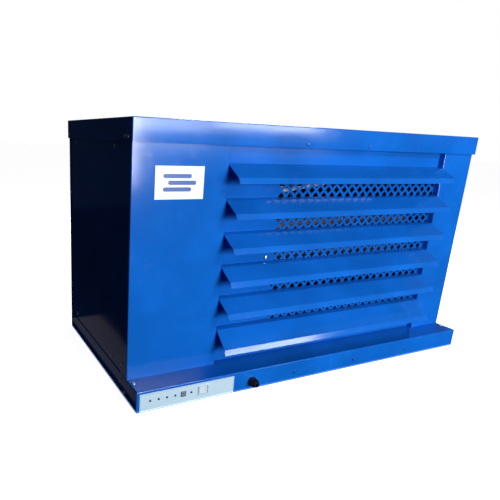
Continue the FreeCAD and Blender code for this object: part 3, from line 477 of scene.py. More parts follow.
def frame_line(graph: Graph, place: tuple[Value, Value], low: Point2, high: Point2,
               inset: float, line: float) -> Value:
    """1 on a thin line that runs round inside a rectangle.

    Args:
        graph: Graph to add to.
        place: Coordinates across and up.
        low: Lower left corner of the rectangle.
        high: Upper right corner.
        inset: Distance of the line from the rim.
        line: Its width.

    Returns:
        The mask.
    """
    gaps = [graph.math("MINIMUM", place[axis] - low[axis], high[axis] - place[axis])
            for axis in (0, 1)]
    rim = graph.math("MINIMUM", gaps[0], gaps[1])
    return (rim > inset) * (rim < inset + line)


@dataclass(frozen=True)
class BoardMask:
    """Green circuit board with tinned tracks under the mask."""

    name: str
    colour: Colour

    def build(self) -> bpy.types.Material:
        """Make the material.

        Returns:
            The material.
        """
        graph = Graph(self.name)
        tracks = graph.cells(180.0, (1.0, 1.0, 3.0)) > 0.72
        face = graph.mix(tracks * 0.5, self.colour, shade(self.colour, 1.9))
        return graph.finish({"Base Color": face, "Roughness": 0.35 + graph.noise(80.0) * 0.15,
                             "Normal": graph.bump(tracks, 0.03 * MILLI)})


Finish = Union[PowderCoat, PlatedMetal, Moulding, Anodised, BlankBadge, BoardMask]

FINISHES: dict[Slot, Finish] = {
    Slot.BLUE_PAINT: PowderCoat("blue_powder_coat", (0.004, 0.115, 0.52)),
    Slot.GALVANISED: PlatedMetal("galvanised_sheet", (0.6, 0.61, 0.63), 0.38),
    Slot.BLACK_WIRE: PowderCoat("black_wire_coat", (0.012, 0.012, 0.014), 0.28, wave=0.0),
    Slot.BADGE_FACE: BlankBadge("badge_print", "badge_plate"),
    Slot.STRIP_FACE: Anodised("anodised_strip", (0.6, 0.8, 0.97), "control_strip"),
    Slot.BOARD_GREEN: BoardMask("solder_mask", (0.01, 0.09, 0.03)),
    Slot.LAMP_LENS: Moulding("lamp_lens", (0.02, 0.025, 0.06), 0.12, 0.0),
    Slot.BUTTON_CAP: Moulding("button_cap", (0.14, 0.18, 0.26), 0.4),
    Slot.SWITCH_HOUSING: Moulding("switch_frame", (0.5, 0.64, 0.78), 0.4),
    Slot.SWITCH_ROCKER: Moulding("rocker_cap", (0.6, 0.72, 0.82), 0.3),
    Slot.GLAND_NYLON: Moulding("gland_nylon", (0.008, 0.008, 0.01), 0.42),
    Slot.ZINC_SCREW: PlatedMetal("bright_zinc", (0.78, 0.79, 0.8), 0.26, 400.0, 0.1),
    Slot.BLACK_PAINT: PowderCoat("black_enamel", (0.008, 0.008, 0.009), 0.32, wave=0.0),
    Slot.GROMMET_RUBBER: Moulding("grommet_rubber", (0.012, 0.012, 0.012), 0.75, 0.05 * MILLI),
    Slot.FIN_BLACK: PlatedMetal("coated_fins", (0.05, 0.05, 0.055), 0.5, 300.0),
    Slot.COPPER: PlatedMetal("drawn_copper", (0.78, 0.36, 0.2), 0.28, 60.0, 0.25,
                             (1.0, 1.0, 0.3)),
    Slot.MOTOR_CASTING: PlatedMetal("die_casting", (0.42, 0.43, 0.44), 0.5, 500.0),
    Slot.FAN_PLASTIC: Moulding("fan_nylon", (0.02, 0.02, 0.022), 0.5),
    Slot.EXCHANGER_GOLD: PlatedMetal("exchanger_shell", (0.6, 0.47, 0.3), 0.42, 40.0, 0.22,
                                     (0.2, 1.0, 1.0)),
    Slot.BRASS_FITTING: PlatedMetal("turned_brass", (0.72, 0.52, 0.22), 0.26, 200.0, 0.12),
    Slot.WHITE_PLASTIC: Moulding("white_tube", (0.8, 0.81, 0.82), 0.35),
    Slot.LEVER_RED: PowderCoat("red_vinyl", (0.45, 0.015, 0.012), 0.35, wave=0.0),
    Slot.COIL_BLACK: Moulding("coil_moulding", (0.012, 0.012, 0.014), 0.4),
    Slot.KNOB_GREY: Moulding("knob_moulding", (0.12, 0.13, 0.15), 0.4),
}
@cache
def material(slot: Slot) -> bpy.types.Material:
    """The material of a slot, made the first time that it is asked for."""
    return FINISHES[slot].build()


# ------------------------------------------------------------------ mesh tools

def link(name: str, mesh: bpy.types.Mesh) -> bpy.types.Object:
    """An object for a mesh, in the scene."""
    piece = bpy.data.objects.new(name, mesh)
    bpy.context.scene.collection.objects.link(piece)
    return piece


def from_bmesh(name: str, shape: bmesh.types.BMesh, sharp: float = 32.0) -> bpy.types.Object:
    """An object from a bmesh, smooth but for its sharp edges.

    Args:
        name: Name of the piece.
        shape: Its geometry, which is freed.
        sharp: Angle in degrees past which an edge stays sharp.

    Returns:
        The object.
    """
    bmesh.ops.recalc_face_normals(shape, faces=shape.faces)
    mesh = bpy.data.meshes.new(name)
    shape.to_mesh(mesh)
    shape.free()
    mesh.polygons.foreach_set("use_smooth", [True] * len(mesh.polygons))
    mesh.set_sharp_from_angle(angle=math.radians(sharp))
    return link(name, mesh)


def settle(piece: bpy.types.Object) -> bpy.types.Object:
    """Turn the piece and its modifiers into a plain mesh.

    Args:
        piece: Piece to settle.

    Returns:
        The piece.
    """
    graph = bpy.context.evaluated_depsgraph_get()
    mesh = bpy.data.meshes.new_from_object(piece.evaluated_get(graph))
    mesh.name = piece.name
    piece.modifiers.clear()
    piece.data = mesh
    return piece


def even_normals(piece: bpy.types.Object) -> bpy.types.Object:
    """Keep flat faces flat beside their rounded edges."""
    modifier = piece.modifiers.new("even", "WEIGHTED_NORMAL")
    modifier.keep_sharp = True
    return settle(piece)


def less(piece: bpy.types.Object, cutters: Iterable[bpy.types.Object]) -> bpy.types.Object:
    """Cut closed shapes out of a piece, and remove them.

    Args:
        piece: Piece to cut.
        cutters: Closed shapes.

    Returns:
        The piece, with a plain mesh.
    """
    cutters = list(cutters)
    for cutter in cutters:
        modifier = piece.modifiers.new("cut", "BOOLEAN")
        modifier.operation, modifier.solver, modifier.object = "DIFFERENCE", "EXACT", cutter
    settle(piece)
    for cutter in cutters:
        bpy.data.objects.remove(cutter)
    return piece


def middle_of(node: str) -> Vector:
    """Middle of a CAD node's box."""
    low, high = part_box(node)
    return (low + high) / 2


def cuboid(low: Vector, high: Vector) -> bmesh.types.BMesh:
    """A block between two corners.

    Args:
        low: Lowest corner.
        high: Highest corner.

    Returns:
        Its geometry.
    """
    shape = bmesh.new()
    bmesh.ops.create_cube(shape, size=1.0)
    place = Matrix.Translation((low + high) / 2) @ Matrix.Diagonal(high - low).to_4x4()
    bmesh.ops.transform(shape, matrix=place, verts=shape.verts)
    return shape


def block(name: str, low: Vector, high: Vector) -> bpy.types.Object:
    """A plain block, used as a cutter or a fin."""
    return from_bmesh(name, cuboid(low, high))


def drum(name: str, start: Vector, heading: Vector, radius: float, length: float,
         steps: int = 48) -> bpy.types.Object:
    """A plain cylinder, used as a cutter, a tube or a spoke.

    Args:
        name: Name of the shape.
        start: Middle of its first end.
        heading: Direction of its axis.
        radius: Its radius.
        length: Its length.
        steps: Sides.

    Returns:
        The object.
    """
    shape = bmesh.new()
    bmesh.ops.create_cone(shape, cap_ends=True, segments=steps, radius1=radius,
                          radius2=radius, depth=length)
    turn = heading.to_track_quat("Z", "Y").to_matrix().to_4x4()
    bmesh.ops.transform(shape, matrix=Matrix.Translation(start + heading * (length / 2)) @ turn,
                        verts=shape.verts)
    return from_bmesh(name, shape)


def node_copy(node: str, flat: float = 1.0) -> bmesh.types.BMesh:
    """A merged copy of a CAD node, with its flat faces whole again.

    Args:
        node: Name of the node.
        flat: Angle in degrees under which neighbouring faces are joined.

    Returns:
        The copy.
    """
    shape = bmesh.new()
    shape.from_mesh(frame["nodes"][node].data)
    bmesh.ops.remove_doubles(shape, verts=shape.verts, dist=1e-6)
    bmesh.ops.dissolve_limit(shape, angle_limit=math.radians(flat), verts=shape.verts,
                             edges=shape.edges)
    return shape


def round_holes(rounds: Sequence[tuple[float, float, float, int]], start: float,
                depth: float) -> list[bpy.types.Object]:
    """Cutters for round holes in a front or rear sheet.

    Args:
        rounds: Place across, height, radius and number of sides of each hole.
        start: Where the cutters start along Y.
        depth: Their length.

    Returns:
        One object for each hole.
    """
    return [drum("hole", Vector((across, start, up)), BACK, radius, depth, steps)
            for across, up, radius, steps in rounds]


def soften(node: str, width: float, slot: Slot = Slot.BLUE_PAINT,
           body: Body = Body.CABINET) -> None:
    """Put a copy with rounded edges in the place of a CAD node.

    Args:
        node: Name of the node.
        width: Width of the rounding.
        slot: Record slot of its finish.
        body: Body that it rides on.
    """
    shape = node_copy(node)
    edges = [edge for edge in shape.edges
             if edge.is_manifold and edge.calc_face_angle(0.0) > math.radians(30)]
    bmesh.ops.bevel(shape, geom=edges, offset=width, segments=2, profile=0.5,
                    affect="EDGES", clamp_overlap=True)
    install(even_normals(from_bmesh(f"{node}_made", shape, 40.0)), slot, body, (node,))


def lathe(name: str, outline: Sequence[Point2], foot: Vector, heading: Vector,
          steps: int) -> bpy.types.Object:
    """A closed turned shape.

    Args:
        name: Name of the piece.
        outline: (radius, height) pairs; the first and last have a radius of 0.
        foot: Point of height 0 on the axis.
        heading: Direction of the axis.
        steps: Sides.

    Returns:
        The object.
    """
    shape = bmesh.new()
    turn = heading.to_track_quat("Z", "Y")
    rings = []
    for radius, height in outline:
        if radius == 0:
            rings.append([shape.verts.new(foot + turn @ Vector((0, 0, height)))])
            continue
        ring = []
        for step in range(steps):
            angle = 2 * math.pi * step / steps
            spot = Vector((radius * math.cos(angle), radius * math.sin(angle), height))
            ring.append(shape.verts.new(foot + turn @ spot))
        rings.append(ring)
    for lower, upper in zip(rings, rings[1:]):
        for step in range(steps):
            after = (step + 1) % steps
            corners = [lower[step % len(lower)], lower[after % len(lower)],
                       upper[after % len(upper)], upper[step % len(upper)]]
            shape.faces.new(list(dict.fromkeys(corners)))
    return from_bmesh(name, shape)


def install(piece: bpy.types.Object, slot: Slot, body: Body = Body.CABINET,
            stands_for: Sequence[str] = ()) -> bpy.types.Object:
    """Dress a finished piece and fix it to its body.

    Args:
        piece: Finished piece.
        slot: Record slot that its finish belongs to.
        body: Body that it rides on.
        stands_for: CAD nodes that it replaces.

    Returns:
        The piece.
    """
    piece.data.materials.clear()
    piece.data.materials.append(material(slot))
    piece.data.polygons.foreach_set("material_index", [0] * len(piece.data.polygons))
    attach(piece, body.value)
    if stands_for:
        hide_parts(*stands_for)
    LOG.info("%s: %d faces on %s", piece.name, len(piece.data.polygons), body.value)
    return piece


# ------------------------------------------------------------------ folded sheet

def rounded_line(corners: Sequence[Point2], radius: float, steps: int = 4) -> list[Vector]:
    """A line whose inner corners are rounded.

    Args:
        corners: Its corners.
        radius: Radius of each fold.
        steps: Parts of each fold.

    Returns:
        The points of the line.
    """
    spots = [Vector(corner) for corner in corners]
    line = [spots[0]]
    for before, here, after in zip(spots, spots[1:], spots[2:]):
        arrive, leave = (here - before).normalized(), (after - here).normalized()
        half = arrive.angle(leave) / 2
        reach = radius * math.tan(half)
        inward = (leave - arrive).normalized()
        centre = here + inward * (radius / math.cos(half))
        first = here - arrive * reach - centre
        turn = 1 if arrive.x * leave.y - arrive.y * leave.x > 0 else -1
        for step in range(steps + 1):
            angle = turn * 2 * half * step / steps
            line.append(centre + Vector((first.x * math.cos(angle) - first.y * math.sin(angle),
                                         first.x * math.sin(angle) + first.y * math.cos(angle))))
    return line + [spots[-1]]


def beside(line: Sequence[Vector], distance: float) -> list[Vector]:
    """The line that runs at a distance to the left of another.

    Args:
        line: Points of the first line.
        distance: Distance, negative for the right.

    Returns:
        The points of the second.
    """
    result = []
    for index, here in enumerate(line):
        sides = []
        for start, end in ((index - 1, index), (index, index + 1)):
            if start >= 0 and end < len(line) and (line[end] - line[start]).length > 1e-9:
                along = (line[end] - line[start]).normalized()
                sides.append(Vector((-along.y, along.x)))
        side = sum(sides, Vector((0.0, 0.0))).normalized()
        result.append(here + side * (distance / max(0.2, side.dot(sides[0]))))
    return result


def folded_sheet(name: str, corners: Sequence[Point2], thick: float, radius: float,
                 span: Point2, place: Callable[[float, float, float], Vector]
                 ) -> bpy.types.Object:
    """A sheet bent along a line and drawn out straight.

    Args:
        name: Name of the piece.
        corners: Corners of its outer face in section.
        thick: Thickness, to the left of the line, or to the right if negative.
        radius: Radius of the outer face at each fold.
        span: Where the sheet starts and ends along its length.
        place: Turns (first, second, along) into a point.

    Returns:
        The object.
    """
    outer = rounded_line(corners, radius)
    section = outer + beside(outer, thick)[::-1]
    shape = bmesh.new()
    ends = [[shape.verts.new(place(spot.x, spot.y, along)) for spot in section]
            for along in span]
    count = len(section)
    for index in range(count):
        after = (index + 1) % count
        shape.faces.new([ends[0][index], ends[0][after], ends[1][after], ends[1][index]])
    half = count // 2
    for row in ends:
        for index in range(half - 1):
            shape.faces.new([row[index], row[index + 1], row[count - 2 - index],
                             row[count - 1 - index]])
    return even_normals(from_bmesh(name, shape, 40.0))


# ------------------------------------------------------------------ geometry nodes

class Tree:
    """A geometry-nodes tree with named inputs, run on one object and then removed."""

    KINDS = {float: "NodeSocketFloat", int: "NodeSocketInt", Vector: "NodeSocketVector",
             bpy.types.Object: "NodeSocketObject", bpy.types.Material: "NodeSocketMaterial"}

    def __init__(self, name: str, values: Mapping[str, object]) -> None:
        """Start a tree whose named inputs have the types of the values given.

        Args:
            name: Name of the tree.
            values: Value of each named input.
        """
        self.tree = bpy.data.node_groups.new(name, "GeometryNodeTree")
        self.values = dict(values)
        face = self.tree.interface
        face.new_socket("Geometry", in_out="INPUT", socket_type="NodeSocketGeometry")
        self.keys = {}
        for title, value in self.values.items():
            item = face.new_socket(title, in_out="INPUT", socket_type=self.KINDS[type(value)])
            self.keys[title] = item.identifier
        face.new_socket("Geometry", in_out="OUTPUT", socket_type="NodeSocketGeometry")
        self.inputs = self.tree.nodes.new("NodeGroupInput").outputs

    def node(self, kind: str, settings: Optional[Mapping] = None,
             inputs: Optional[Mapping] = None) -> bpy.types.NodeSocket:
        """Add a node and return its first output.

        Args:
            kind: Type of the node, without its first word for geometry nodes.
            settings: Its settings.
            inputs: Values or sockets by name or index; a list joins several.

        Returns:
            The node's first output.
        """
        known = kind if kind.startswith(("Shader", "Function")) else f"GeometryNode{kind}"
        node = self.tree.nodes.new(known)
        for key, setting in (settings or {}).items():
            setattr(node, key, setting)
        for key, item in (inputs or {}).items():
            for part in item if isinstance(item, list) else [item]:
                if isinstance(part, bpy.types.NodeSocket):
                    self.tree.links.new(part, node.inputs[key])
                else:
                    node.inputs[key].default_value = part
        return node.outputs[0]

    def math(self, operation: str, first: object, second: object = 0.0) -> bpy.types.NodeSocket:
        """A Math node on numbers or sockets."""
        return self.node("ShaderNodeMath", {"operation": operation}, {0: first, 1: second})

    def copies(self, points: bpy.types.NodeSocket,
               more: Optional[Mapping] = None) -> bpy.types.NodeSocket:
        """Instances of the input named Pattern, one on each point.

        Args:
            points: Points to stand them on.
            more: Further inputs of the instancing node.

        Returns:
            The instances.
        """
        shape = self.tree.nodes.new("GeometryNodeObjectInfo")
        self.tree.links.new(self.inputs["Pattern"], shape.inputs["Object"])
        return self.node("InstanceOnPoints", None,
                         {"Points": points, "Instance": shape.outputs["Geometry"],
                          **(more or {})})

    def run(self, piece: bpy.types.Object, geometry: bpy.types.NodeSocket) -> bpy.types.Object:
        """Close the tree, run it on the piece and turn the result into a plain mesh.

        Args:
            piece: Object whose mesh the tree starts from.
            geometry: Last socket of the tree.

        Returns:
            The piece.
        """
        whole = self.node("RealizeInstances", None, {0: geometry})
        dressed = self.node("SetMaterial", None,
                            {"Geometry": whole, "Material": self.inputs["Finish"]})
        out = self.tree.nodes.new("NodeGroupOutput")
        self.tree.links.new(dressed, out.inputs[0])
        modifier = piece.modifiers.new("nodes", "NODES")
        modifier.node_group = self.tree
        for title, key in self.keys.items():
            modifier[key] = self.values[title]
        return settle(piece)


def bare(name: str) -> bpy.types.Object:
    """An object with an empty mesh, for a tree to fill."""
    return link(name, bpy.data.meshes.new(name))


def row_of(name: str, pattern: bpy.types.Object, count: int, step: Vector,
           finish: bpy.types.Material) -> bpy.types.Object:
    """Copies of a piece at even steps.

    Args:
        name: Name of the result.
        pattern: Piece to repeat, which is removed.
        count: Copies.
        step: Step from one to the next.
        finish: Material.

    Returns:
        The object.
    """
    tree = Tree(name, {"Pattern": pattern, "Count": count, "Step": step, "Finish": finish})
    spots = tree.node("MeshLine", {"mode": "OFFSET"},
                      {"Count": tree.inputs["Count"], "Offset": tree.inputs["Step"]})
    piece = tree.run(bare(name), tree.copies(spots))
    bpy.data.objects.remove(pattern)
    return piece


def seated(name: str, pattern: bpy.types.Object, seats: Sequence[tuple[Vector, Vector]],
           finish: bpy.types.Material) -> bpy.types.Object:
    """Copies of a fastener, each on its seat with its axis along the seat's heading.

    Args:
        name: Name of the result.
        pattern: Fastener that stands on the origin along +Z.
        seats: Place and heading of each.
        finish: Material.

    Returns:
        The object.
    """
    mesh = bpy.data.meshes.new(name)
    mesh.from_pydata([tuple(place) for place, _ in seats], [], [])
    headings = mesh.attributes.new("heading", "FLOAT_VECTOR", "POINT")
    headings.data.foreach_set("vector", [part for _, way in seats for part in way])
    tree = Tree(name, {"Pattern": pattern, "Finish": finish})
    way = tree.node("InputNamedAttribute", {"data_type": "FLOAT_VECTOR"}, {"Name": "heading"})
    turn = tree.node("FunctionNodeAlignRotationToVector", {"axis": "Z"}, {"Vector": way})
    return tree.run(link(name, mesh), tree.copies(tree.inputs["Geometry"], {"Rotation": turn}))


# ------------------------------------------------------------------ cabinet

@dataclass
class Base:
    """Tray base, with the holes in its front skirt."""

    wall: float = 2 * MILLI
    fold: float = 2.4 * MILLI
    control_level: float = 24.3 * MILLI
    first_lamp: float = -469.3 * MILLI
    pitch: float = 19.45 * MILLI
    lamp_hole: float = 2.6 * MILLI
    button_step: int = 4
    lamp_steps: tuple[int, ...] = (0, 1, 2, 3, 5)
    button_half: float = 6.3 * MILLI
    switch_place: float = -342.5 * MILLI
    switch_half: Point2 = (12.1 * MILLI, 10.1 * MILLI)
    gland_hole: float = 10.1 * MILLI

    def build(self) -> None:
        """Make the tray and cut its front skirt for the controls."""
        low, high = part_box("base_tray")
        tray = open_pan("tray_base", low, high, self.wall, self.fold)
        less(tray, self.cutters(low))
        even_normals(tray)
        install(tray, Slot.BLUE_PAINT, stands_for=("base_tray",))

    def cutters(self, low: Vector) -> list[bpy.types.Object]:
        """Shapes of the holes in the front skirt.

        Args:
            low: Lowest corner of the tray.

        Returns:
            One object for each hole.
        """
        near, far = low.y - self.wall, low.y + 2 * self.wall
        button = self.first_lamp + self.button_step * self.pitch
        halves = ((button, (self.button_half, self.button_half)),
                  (self.switch_place, self.switch_half))
        shapes = [block("hole", Vector((place - wide, near, self.control_level - tall)),
                        Vector((place + wide, far, self.control_level + tall)))
                  for place, (wide, tall) in halves]
        gland = middle_of("gland_locknut")
        rounds = [(self.first_lamp + step * self.pitch, self.control_level, self.lamp_hole, 20)
                  for step in self.lamp_steps]
        rounds.append((gland.x, gland.z, self.gland_hole, 32))
        return shapes + round_holes(rounds, near, 3 * self.wall)


def open_pan(name: str, low: Vector, high: Vector, wall: float,
             fold: float) -> bpy.types.Object:
    """A folded pan, open below, with rounded outer folds.

    Args:
        name: Name of the piece.
        low: Lowest corner of its box.
        high: Highest corner.
        wall: Thickness of the sheet.
        fold: Outer radius of its folds.

    Returns:
        The object.
    """
    shape = cuboid(low, high)
    gone = [face for face in shape.faces if face.normal.z < -0.9]
    rim = {edge for face in gone for edge in face.edges}
    bmesh.ops.delete(shape, geom=gone, context="FACES_ONLY")
    folds = [edge for edge in shape.edges if edge not in rim]
    bmesh.ops.bevel(shape, geom=folds, offset=fold, segments=4, profile=0.5, affect="EDGES")
    piece = from_bmesh(name, shape, 50.0)
    modifier = piece.modifiers.new("wall", "SOLIDIFY")
    modifier.thickness, modifier.offset, modifier.use_even_offset = wall, -1.0, True
    settle(piece)
    return even_normals(piece)


@dataclass
class Shell:
    """Lid, front panels, side panels and rear panel."""

    sheet: float = 1.5 * MILLI
    fold: float = 2.2 * MILLI
    recess: float = 15 * MILLI
    fan_outlet: float = 172 * MILLI
    port_hole: float = 22 * MILLI
    drain_hole: float = 6 * MILLI
    side_edge: float = 0.4 * MILLI

    def build(self) -> None:
        """Make every outer sheet but the louvre bay."""
        low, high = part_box("lid")
        install(open_pan("lid_pan", low, high, self.sheet, self.fold), Slot.BLUE_PAINT,
                stands_for=("lid",))
        self.front_panels()
        self.rear_panel()
        for side in ("left_side_panel", "right_side_panel"):
            soften(side, self.side_edge)

    def channel(self, name: str, node: str, line: Sequence[Point2]) -> bpy.types.Object:
        """A sheet folded along a line in plan, as tall as its CAD node.

        Args:
            name: Name of the piece.
            node: CAD node that gives its height.
            line: Corners of its outer face, seen from above.

        Returns:
            The object.
        """
        low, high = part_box(node)
        return folded_sheet(name, line, self.sheet, self.fold, (low.z, high.z),
                            lambda across, depth, up: Vector((across, depth, up)))

    def front_panels(self) -> None:
        """Flush panel at the left and post at the right, folded at both edges."""
        for node, name, order in (("front_left_panel", "front_panel_left", 1),
                                  ("front_right_post", "front_post_right", -1)):
            low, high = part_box(node)
            first, last = (high.y, low.y + self.recess)[::order]
            line = [(low.x, first), (low.x, low.y), (high.x, low.y), (high.x, last)]
            install(self.channel(name, node, line), Slot.BLUE_PAINT, stands_for=(node,))

    def rear_panel(self) -> None:
        """Rear sheet with its side returns and round openings."""
        low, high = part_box("rear_panel")
        line = [(high.x, low.y), (high.x, high.y), (low.x, high.y), (low.x, low.y)]
        rear = self.channel("rear_sheet", "rear_panel", line)
        motor, spigot = middle_of("fan_motor"), middle_of("drain_spigot")
        rounds = [(motor.x, motor.z, self.fan_outlet, 96)]
        for node in ("air_inlet_pipe", "air_outlet_pipe"):
            pipe_low, pipe_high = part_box(node)
            radius = (pipe_high.z - pipe_low.z) / 2
            rounds.append((pipe_low.x + radius, pipe_low.z + radius, self.port_hole, 48))
        rounds.append((spigot.x, spigot.z, self.drain_hole, 24))
        less(rear, round_holes(rounds, high.y - 2 * self.sheet, 4 * self.sheet))
        even_normals(rear)
        install(rear, Slot.BLUE_PAINT, stands_for=("rear_panel",))


@dataclass
class LouvreBay:
    """Six folded blades in front of a recessed sheet and its perforated grille."""

    sheet: float = 1.5 * MILLI
    fold: float = 2.6 * MILLI
    recess: float = 15 * MILLI
    root_rise: float = 3 * MILLI
    reach: float = 39 * MILLI
    lip_drop: float = 12 * MILLI
    drops: Point2 = (23 * MILLI, 34 * MILLI)
    lips: Point2 = (6 * MILLI, 5 * MILLI)
    upper_blades: int = 5
    pitch_across: float = 25.45 * MILLI
    pitch_up: float = 25.93 * MILLI
    hole: float = 17 * MILLI
    hole_round: float = 1.0 * MILLI
    columns: int = 21
    rows: int = 15
    first_hole: Point2 = (-125.7 * MILLI, 121.9 * MILLI)
    panel_edge: float = 0.3 * MILLI

    def build(self) -> None:
        """Make the blades, the recessed sheet and the grille."""
        first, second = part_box("louvre_blade_1"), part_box("louvre_blade_2")
        upper = self.blade("blade_pattern", "louvre_blade_1", self.drops[0], self.lips[0])
        names = [f"louvre_blade_{index + 1}" for index in range(self.upper_blades)]
        bank = row_of("louvre_bank", upper, self.upper_blades,
                      Vector((0, 0, second[1].z - first[1].z)), material(Slot.BLUE_PAINT))
        install(even_normals(bank), Slot.BLUE_PAINT, stands_for=names)
        low_name = f"louvre_blade_{self.upper_blades + 1}"
        install(self.blade("louvre_low_blade", low_name, self.drops[1], self.lips[1]),
                Slot.BLUE_PAINT, stands_for=(low_name,))
        soften("louvre_back_panel", self.panel_edge)
        self.grille()

    def blade(self, name: str, node: str, drop: float, lip: float) -> bpy.types.Object:
        """One blade: root, sloping face and a lip folded down.

        Args:
            name: Name of the piece.
            node: CAD node that gives its place.
            drop: Fall of the sloping face.
            lip: Reach of the lip.

        Returns:
            The object.
        """
        low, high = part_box(node)
        front, top = high.y - self.recess, high.z - self.root_rise
        line = [(high.y, high.z), (front, top), (front - self.reach, top - drop),
                (front - self.reach - lip, top - drop - self.lip_drop)]
        return folded_sheet(name, line, self.sheet, self.fold, (low.x, high.x),
                            lambda depth, up, across: Vector((across, depth, up)))

    def grille(self) -> None:
        """Sheet with diamond openings in staggered rows."""
        low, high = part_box("grille")
        middle = Vector(((low.x + high.x) / 2, (low.z + high.z) / 2, 0))
        tree = Tree("perforated_sheet", {
            "Width": high.x - low.x, "Height": high.z - low.z, "Thickness": high.y - low.y,
            "Hole": self.hole, "Corner": self.hole_round, "Columns": self.columns,
            "Rows": self.rows, "Pitch across": self.pitch_across, "Pitch up": self.pitch_up,
            "Finish": material(Slot.BLUE_PAINT)})
        sizes = tree.inputs
        outline = tree.node("CurvePrimitiveQuadrilateral", {"mode": "RECTANGLE"},
                            {"Width": sizes["Width"], "Height": sizes["Height"]})
        half = tree.math("DIVIDE", sizes["Hole"], 2.0)
        diamond = tree.node("CurvePrimitiveQuadrilateral", {"mode": "KITE"},
                            {"Width": sizes["Hole"], "Bottom Height": half,
                             "Top Height": half})
        diamond = tree.node("FilletCurve", {"mode": "POLY"},
                            {"Curve": diamond, "Radius": sizes["Corner"], "Count": 2})
        grids = []
        for shift in (0, 1):
            across = tree.math("SUBTRACT", sizes["Columns"], float(shift))
            up = tree.math("SUBTRACT", sizes["Rows"], float(shift))
            wide = tree.math("MULTIPLY", tree.math("SUBTRACT", across, 1.0),
                             sizes["Pitch across"])
            tall = tree.math("MULTIPLY", tree.math("SUBTRACT", up, 1.0), sizes["Pitch up"])
            grids.append(tree.node("MeshGrid", None, {"Size X": wide, "Size Y": tall,
                                                      "Vertices X": across, "Vertices Y": up}))
        points = tree.node("JoinGeometry", None, {0: grids})
        field_middle = Vector((self.first_hole[0] + (self.columns - 1) * self.pitch_across / 2,
                               self.first_hole[1] + (self.rows - 1) * self.pitch_up / 2, 0))
        points = tree.node("Transform", None, {0: points, "Translation": field_middle - middle})
        holes = tree.node("InstanceOnPoints", None, {"Points": points, "Instance": diamond})
        holes = tree.node("RealizeInstances", None, {0: holes})
        loops = tree.node("JoinGeometry", None, {0: [outline, holes]})
        face = tree.node("FillCurve", {"mode": "NGONS"}, {0: loops})
        raised = tree.node("ExtrudeMesh", {"mode": "FACES"},
                           {"Mesh": face, "Offset Scale": sizes["Thickness"],
                            "Individual": False})
        under = tree.node("FlipFaces", None, {0: face})
        sheet = tree.node("MergeByDistance", None,
                          {0: tree.node("JoinGeometry", None, {0: [raised, under]}),
                           "Distance": 1e-6})
        sheet = tree.node("Transform", None,
                          {0: sheet, "Translation": Vector((middle.x, high.y, middle.y)),
                           "Rotation": TIPPED_UP})
        piece = tree.run(bare("grille_sheet"), sheet)
        install(piece, Slot.BLUE_PAINT, stands_for=("grille",))


# ------------------------------------------------------------------ fasteners and plates

@dataclass
class Fasteners:
    """Cross-recessed pan-head screws on the seats of the CAD ones."""

    head_radius: float = 4.4 * MILLI
    head_height: float = 2.4 * MILLI
    cross: Point2 = (4.6 * MILLI, 1.0 * MILLI)
    cross_depth: float = 1.3 * MILLI
    sunk: float = 0.3 * MILLI
    crown: float = 0.38
    dome: float = 0.65
    shank_share: float = 0.6

    def build(self) -> None:
        """Set a head on every seat; those on the front of the lid and base are painted over."""
        head = self.head()
        for node in ("lid_screws", "panel_screws", "base_screws"):
            bright, painted = [], []
            for place, way in self.seats(node):
                over = way.y < -0.5 and node != "panel_screws"
                (painted if over else bright).append((place, way))
            for tag, seats, slot in (("bright", bright, Slot.ZINC_SCREW),
                                     ("painted", painted, Slot.BLUE_PAINT)):
                if seats:
                    install(seated(f"{node}_{tag}", head, seats, material(slot)),
                                        slot)
            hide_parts(node)
        bpy.data.objects.remove(head)

    def head(self) -> bpy.types.Object:
        """One head, standing on the origin along +Z.

        Returns:
            The object.
        """
        radius, height = self.head_radius, self.head_height
        outline = [(0.0, -self.sunk), (radius * 0.98, -self.sunk),
                   (radius, (1 - self.dome) * height)]
        for step in range(1, 5):
            angle = math.radians(90 * step / 4)
            outline.append((radius * (1 - self.crown + self.crown * math.cos(angle)),
                            height * (1 - self.dome + self.dome * math.sin(angle))))
        outline.append((0.0, height * 1.04))
        piece = lathe("screw_head", outline, Vector(), Vector((0, 0, 1)), 20)
        long, short = self.cross[0] / 2, self.cross[1] / 2
        floor, above = height - self.cross_depth, height * 2
        arms = [block("arm", Vector((-wide, -deep, floor)), Vector((wide, deep, above)))
                for wide, deep in ((long, short), (short, long))]
        return less(piece, arms)

    def seats(self, node: str) -> list[tuple[Vector, Vector]]:
        """Places and headings of the screws in a CAD node.

        Args:
            node: Name of the node.

        Returns:
            The place where each head meets the sheet, and its outward heading.
        """
        shape = node_copy(node, 0.01)
        shape.verts.ensure_lookup_table()
        left, found = set(shape.verts), []
        while left:
            stack, island = [left.pop()], []
            while stack:
                vert = stack.pop()
                island.append(vert.co.copy())
                near = {edge.other_vert(vert) for edge in vert.link_edges} & left
                left -= near
                stack.extend(near)
            found.append(self.seat(island))
        shape.free()
        return sorted(found, key=lambda item: tuple(item[0]))

    def seat(self, island: Sequence[Vector]) -> tuple[Vector, Vector]:
        """Seat and heading of one screw.

        Args:
            island: Points of its surface.

        Returns:
            The place where the head meets the sheet, and its outward heading.
        """
        low = Vector([min(spot[axis] for spot in island) for axis in range(3)])
        high = Vector([max(spot[axis] for spot in island) for axis in range(3)])
        size = high - low
        axis = max(range(3), key=lambda part: size[part])
        middle = (low + high) / 2
        wide = [spot for spot in island
                if max(abs(spot[part] - middle[part]) for part in range(3) if part != axis)
                > self.shank_share * self.head_radius]
        sign = 1 if sum(spot[axis] for spot in wide) / len(wide) > middle[axis] else -1
        way = Vector([sign if part == axis else 0 for part in range(3)])
        place = middle + way * (size[axis] / 2 - self.head_height)
        return place, way


